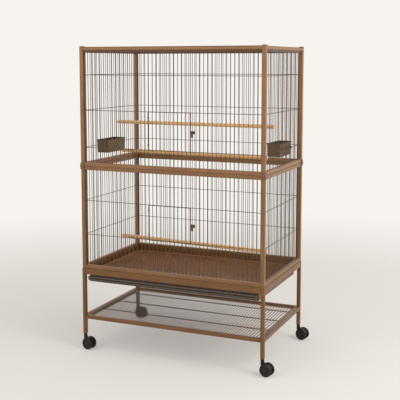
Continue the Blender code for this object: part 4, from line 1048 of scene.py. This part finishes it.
# What hangs inside
def feeder_cup(name, side, gaps):
    wire_z = SPLIT_Z + UPPER_CROSS_WIRES[0]
    rim = wire_z + CUP_RIM_ABOVE_WIRE
    back_x = PANEL_X - WIRE - TOUCH - WIRE / 2 - TOUCH
    hook_ys = [(side_wire_y(gap) + side_wire_y(gap + 1)) / 2 for gap in gaps]
    middle_y = sum(hook_ys) / len(hook_ys)
    middle_x = side * (back_x - CUP_DEPTH / 2)
    foot = rim - CUP_HEIGHT
    shape = Shape()
    loops = []
    wall = CUP_WALL
    for inset, corner, z in (
        (CUP_TAPER + 0.0040, 0.0040, foot), (CUP_TAPER + 0.0015, 0.0045, foot + 0.0006),
        (CUP_TAPER + 0.0003, 0.0052, foot + 0.0025), (CUP_TAPER - 0.0004, 0.0055, foot + 0.0060),
        (0.0016, 0.0060, rim - 0.0052), (0.0013, 0.0060, rim - 0.0042), (0.0002, 0.0065, rim - 0.0036),
        (0.0, 0.0065, rim - 0.0012), (0.0006, 0.0060, rim - 0.0002), (0.0014, 0.0055, rim),
        (wall - 0.0004, 0.0045, rim - 0.0002), (wall + 0.0003, 0.0040, rim - 0.0012),
        (wall + CUP_TAPER - 0.0006, 0.0038, foot + 0.0065),
        (wall + CUP_TAPER + 0.0012, 0.0034, foot + 0.0040),
        (wall + CUP_TAPER + 0.0040, 0.0030, foot + 0.0026),
    ):
        outline = rounded(CUP_DEPTH / 2 - inset, CUP_LENGTH / 2 - inset, corner, 5)
        loops.append([Vector((middle_x + a, middle_y + b, z)) for a, b in outline])
    shape.skin(loops)
    # the faces past the rim are the inside, which take the near-black painted shade of the cup's hollow; the
    # last one but one closes the foot from below
    outside = CUP_RIM_ROW * len(loops[0])
    shape.kinds[outside:] = [1] * (len(shape.kinds) - outside)
    shape.kinds[-2] = 0
    low = wire_z + WIRE / 2 + TOUCH
    tip = back_x + 2 * TOUCH + WIRE
    root, end = back_x - 0.0024, tip + CUP_HOOK
    top, bottom = low + CUP_HOOK, low - CUP_HOOK_DROP
    outline = [
        (root, low), (tip - 0.0006, low), (tip, low - 0.0006), (tip, bottom + 0.0006),
        (tip + 0.0005, bottom), (end - 0.0010, bottom), (end - TOUCH, bottom + 0.0010),
        (end - TOUCH, top - 0.0022), (end - 0.0009, top - 0.0007), (end - 0.0024, top), (root, top),
    ]
    half = CUP_HOOK_WIDTH / 2
    for y in hook_ys:
        slab(shape, outline, y - half, y + half, lambda a, b, h: Vector((side * a, h, b)), 0.0004, 2)
    piece(f"{name}_moulding", shape, "cage", [name], ["cup", "cup_painted_shade"])


def perch(name, wires, rises, upper):
    """Dowel, made along its own X so that its grain runs along it, and then laid between two side wires."""
    foot_z = SPLIT_Z if upper else STAND_HEIGHT
    left = Vector((-PANEL_X, side_wire_y(wires[0]), foot_z + rises[0]))
    right = Vector((PANEL_X, side_wire_y(wires[1]), foot_z + rises[1]))
    along = (right - left).normalized()
    sideways = Vector((0, 0, 1)).cross(along).normalized()
    turn = Matrix((along, sideways, along.cross(sideways))).transposed().to_4x4()
    reach = (right - left).length / 2 + PERCH_OVERHANG
    body = reach - PERCH_SLOT_DEPTH
    shape = Shape()
    shape.turned([(0, -body), (PERCH_RADIUS, -body), (PERCH_RADIUS, body), (0, body)], along_x, 28)
    gap = WIRE / 2 * (abs(along.x) + abs(along.y)) + TOUCH
    first = math.asin(gap / PERCH_RADIUS)
    for side in (-1, 1):
        for half in (-1, 1):
            outline = []
            for step in range(15):
                angle = first + (math.pi - 2 * first) * step / 14
                outline.append((half * PERCH_RADIUS * math.sin(angle), PERCH_RADIUS * math.cos(angle)))
            loops = [[along_x(a, b, side * body) for a, b in outline]]
            for back, inset in ((0.0010, 0.0), (0.0003, 0.0003), (0.0, 0.0010)):
                end = side * reach - side * back
                loops.append([along_x(a, b, end) for a, b in inset_outline(outline, inset)])
            shape.skin(loops)
    placed = Matrix.Translation((left + right) / 2 + CENTRE) @ turn
    piece(f"{name}_dowel", shape, "cage", [name], ["perch"], placed=placed)


def carried_over():
    """Solids that show as they are get the same finishes on their own slots."""
    finishes = {"caster_stem": "caster", "caster_axle": "steel", "tray_runner": "sheet"}
    for name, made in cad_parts.items():
        for start, key in finishes.items():
            if name.startswith(start):
                for slot in made.material_slots:
                    slot.link = "OBJECT"
                    slot.material = MATERIALS[key]


def build():
    for level in ("lower", "upper"):
        side_frame(level, "left", on_left)
        side_frame(level, "right", on_right)
        wall_panel(level, "front", on_front)
        wall_panel(level, "back", on_back)
        door_fittings(level)
        door(level)
        latch(level)
    roof_panel()
    for corner, (side_x, side_y) in CORNERS.items():
        post_cap(corner, side_x, side_y)
        corner_bracket(corner, side_x, side_y)
        leg(corner, side_x, side_y)
        caster(corner, side_x, side_y)
    stand_rails()
    storage_shelf()
    floor_grille()
    slide_out_tray()
    feeder_cup("feeder_cup_left", -1, LEFT_CUP_GAPS)
    feeder_cup("feeder_cup_right", 1, RIGHT_CUP_GAPS)
    for name, (wires, rises, upper) in PERCHES.items():
        perch(name, wires, rises, upper)
    carried_over()


# Room: floor, light and camera
BACKGROUND = (0.93, 0.90, 0.86)
FLOOR_REACH = 30.0
FLOOR_COLOUR = (0.80, 0.765, 0.72)
FLOOR_FADE = (1.0, 3.4)
FLOOR_FADE_LEAST = 0.30
DAYLIGHT = (1.0, 0.985, 0.96)
DAYLIGHT_STRENGTH = 0.62
LIGHT_TARGET = (0.0, 0.0, 0.7)
CAMERA_LENS = 75.35
CAMERA_SHIFT = -0.10
CAMERA_PLACE = (1.395, -3.148, 1.181)
CAMERA_PITCH = 6.62
CAMERA_TURN = 0.4095


def ray_is(tree, *kinds):
    """1 for a ray of one of the named kinds, otherwise 0."""
    rays = node(tree, "ShaderNodeLightPath")
    total = rays.outputs[kinds[0]]
    for kind in kinds[1:]:
        both = node(tree, "ShaderNodeMath", operation="ADD", use_clamp=True)
        tree.links.new(total, both.inputs[0])
        tree.links.new(rays.outputs[kind], both.inputs[1])
        total = both.outputs["Value"]
    return total


def mix_shaders(tree, output, share, one, two):
    mix = node(tree, "ShaderNodeMixShader")
    for source, target in zip((share, one.outputs[0], two.outputs[0]), mix.inputs):
        tree.links.new(source, target)
    tree.links.new(mix.outputs["Shader"], output.inputs["Surface"])


def stage_floor():
    """Large pale floor that takes the shadow and fades into the background further out."""
    mesh = bpy.data.meshes.new("studio_floor")
    corners = [(x * FLOOR_REACH, y * FLOOR_REACH, 0) for x, y in ((-1, -1), (1, -1), (1, 1), (-1, 1))]
    mesh.from_pydata(corners, [], [(0, 1, 2, 3)])
    floor = new_object("studio_floor", mesh)
    material = bpy.data.materials.new("studio_floor")
    material.use_nodes = True
    tree = material.node_tree
    tree.nodes.clear()
    output = node(tree, "ShaderNodeOutputMaterial")
    matte = node(tree, "ShaderNodeBsdfDiffuse")
    matte.inputs["Color"].default_value = (*FLOOR_COLOUR, 1.0)
    far = node(tree, "ShaderNodeEmission")
    far.inputs["Color"].default_value = (*BACKGROUND, 1.0)
    place = node(tree, "ShaderNodeNewGeometry")
    length = node(tree, "ShaderNodeVectorMath", operation="LENGTH")
    tree.links.new(place.outputs["Position"], length.inputs[0])
    distance = length.outputs["Value"]
    fade = map_range(tree, distance, FLOOR_FADE, (FLOOR_FADE_LEAST, 1.0), interpolation_type="SMOOTHSTEP")
    both = node(tree, "ShaderNodeMath", operation="MULTIPLY")
    tree.links.new(fade, both.inputs[0])
    tree.links.new(ray_is(tree, "Is Camera Ray", "Is Glossy Ray"), both.inputs[1])
    mix_shaders(tree, output, both.outputs["Value"], matte, far)
    mesh.materials.append(material)


def world_light():
    world = bpy.data.worlds.new("studio")
    bpy.context.scene.world = world
    world.use_nodes = True
    tree = world.node_tree
    tree.nodes.clear()
    output = node(tree, "ShaderNodeOutputWorld")
    light = node(tree, "ShaderNodeBackground", Strength=DAYLIGHT_STRENGTH)
    light.inputs["Color"].default_value = (*DAYLIGHT, 1.0)
    shown = node(tree, "ShaderNodeBackground", Strength=1.0)
    shown.inputs["Color"].default_value = (*BACKGROUND, 1.0)
    seen = ray_is(tree, "Is Camera Ray", "Is Transmission Ray", "Is Glossy Ray")
    mix_shaders(tree, output, seen, light, shown)


def area_light(name, location, size, power, colour):
    """Square lamp that points at the middle of the cage."""
    lamp = bpy.data.lights.new(name, "AREA")
    lamp.shape = "SQUARE"
    lamp.size = size
    lamp.energy = power
    lamp.color = colour
    holder = new_object(name, lamp)
    holder.location = location
    holder.rotation_euler = (Vector(LIGHT_TARGET) - Vector(location)).to_track_quat("-Z", "Y").to_euler()


def camera():
    lens = bpy.data.cameras.new("camera")
    lens.sensor_width = 36.0
    lens.lens = CAMERA_LENS
    lens.shift_y = CAMERA_SHIFT
    lens.clip_end = 100.0
    holder = new_object("camera", lens)
    holder.location = Vector(CAMERA_PLACE) + CENTRE
    holder.rotation_euler = Euler((math.radians(90.0 - CAMERA_PITCH), 0.0, CAMERA_TURN))
    bpy.context.scene.camera = holder


build()
stage_floor()
world_light()
area_light("window_light", (3.2, -0.6, 2.4), 2.2, 78.0, DAYLIGHT)
area_light("front_fill", (-1.6, -3.2, 2.6), 2.6, 34.0, (1.0, 0.98, 0.95))
camera()
bpy.context.scene.view_settings.view_transform = "Standard"
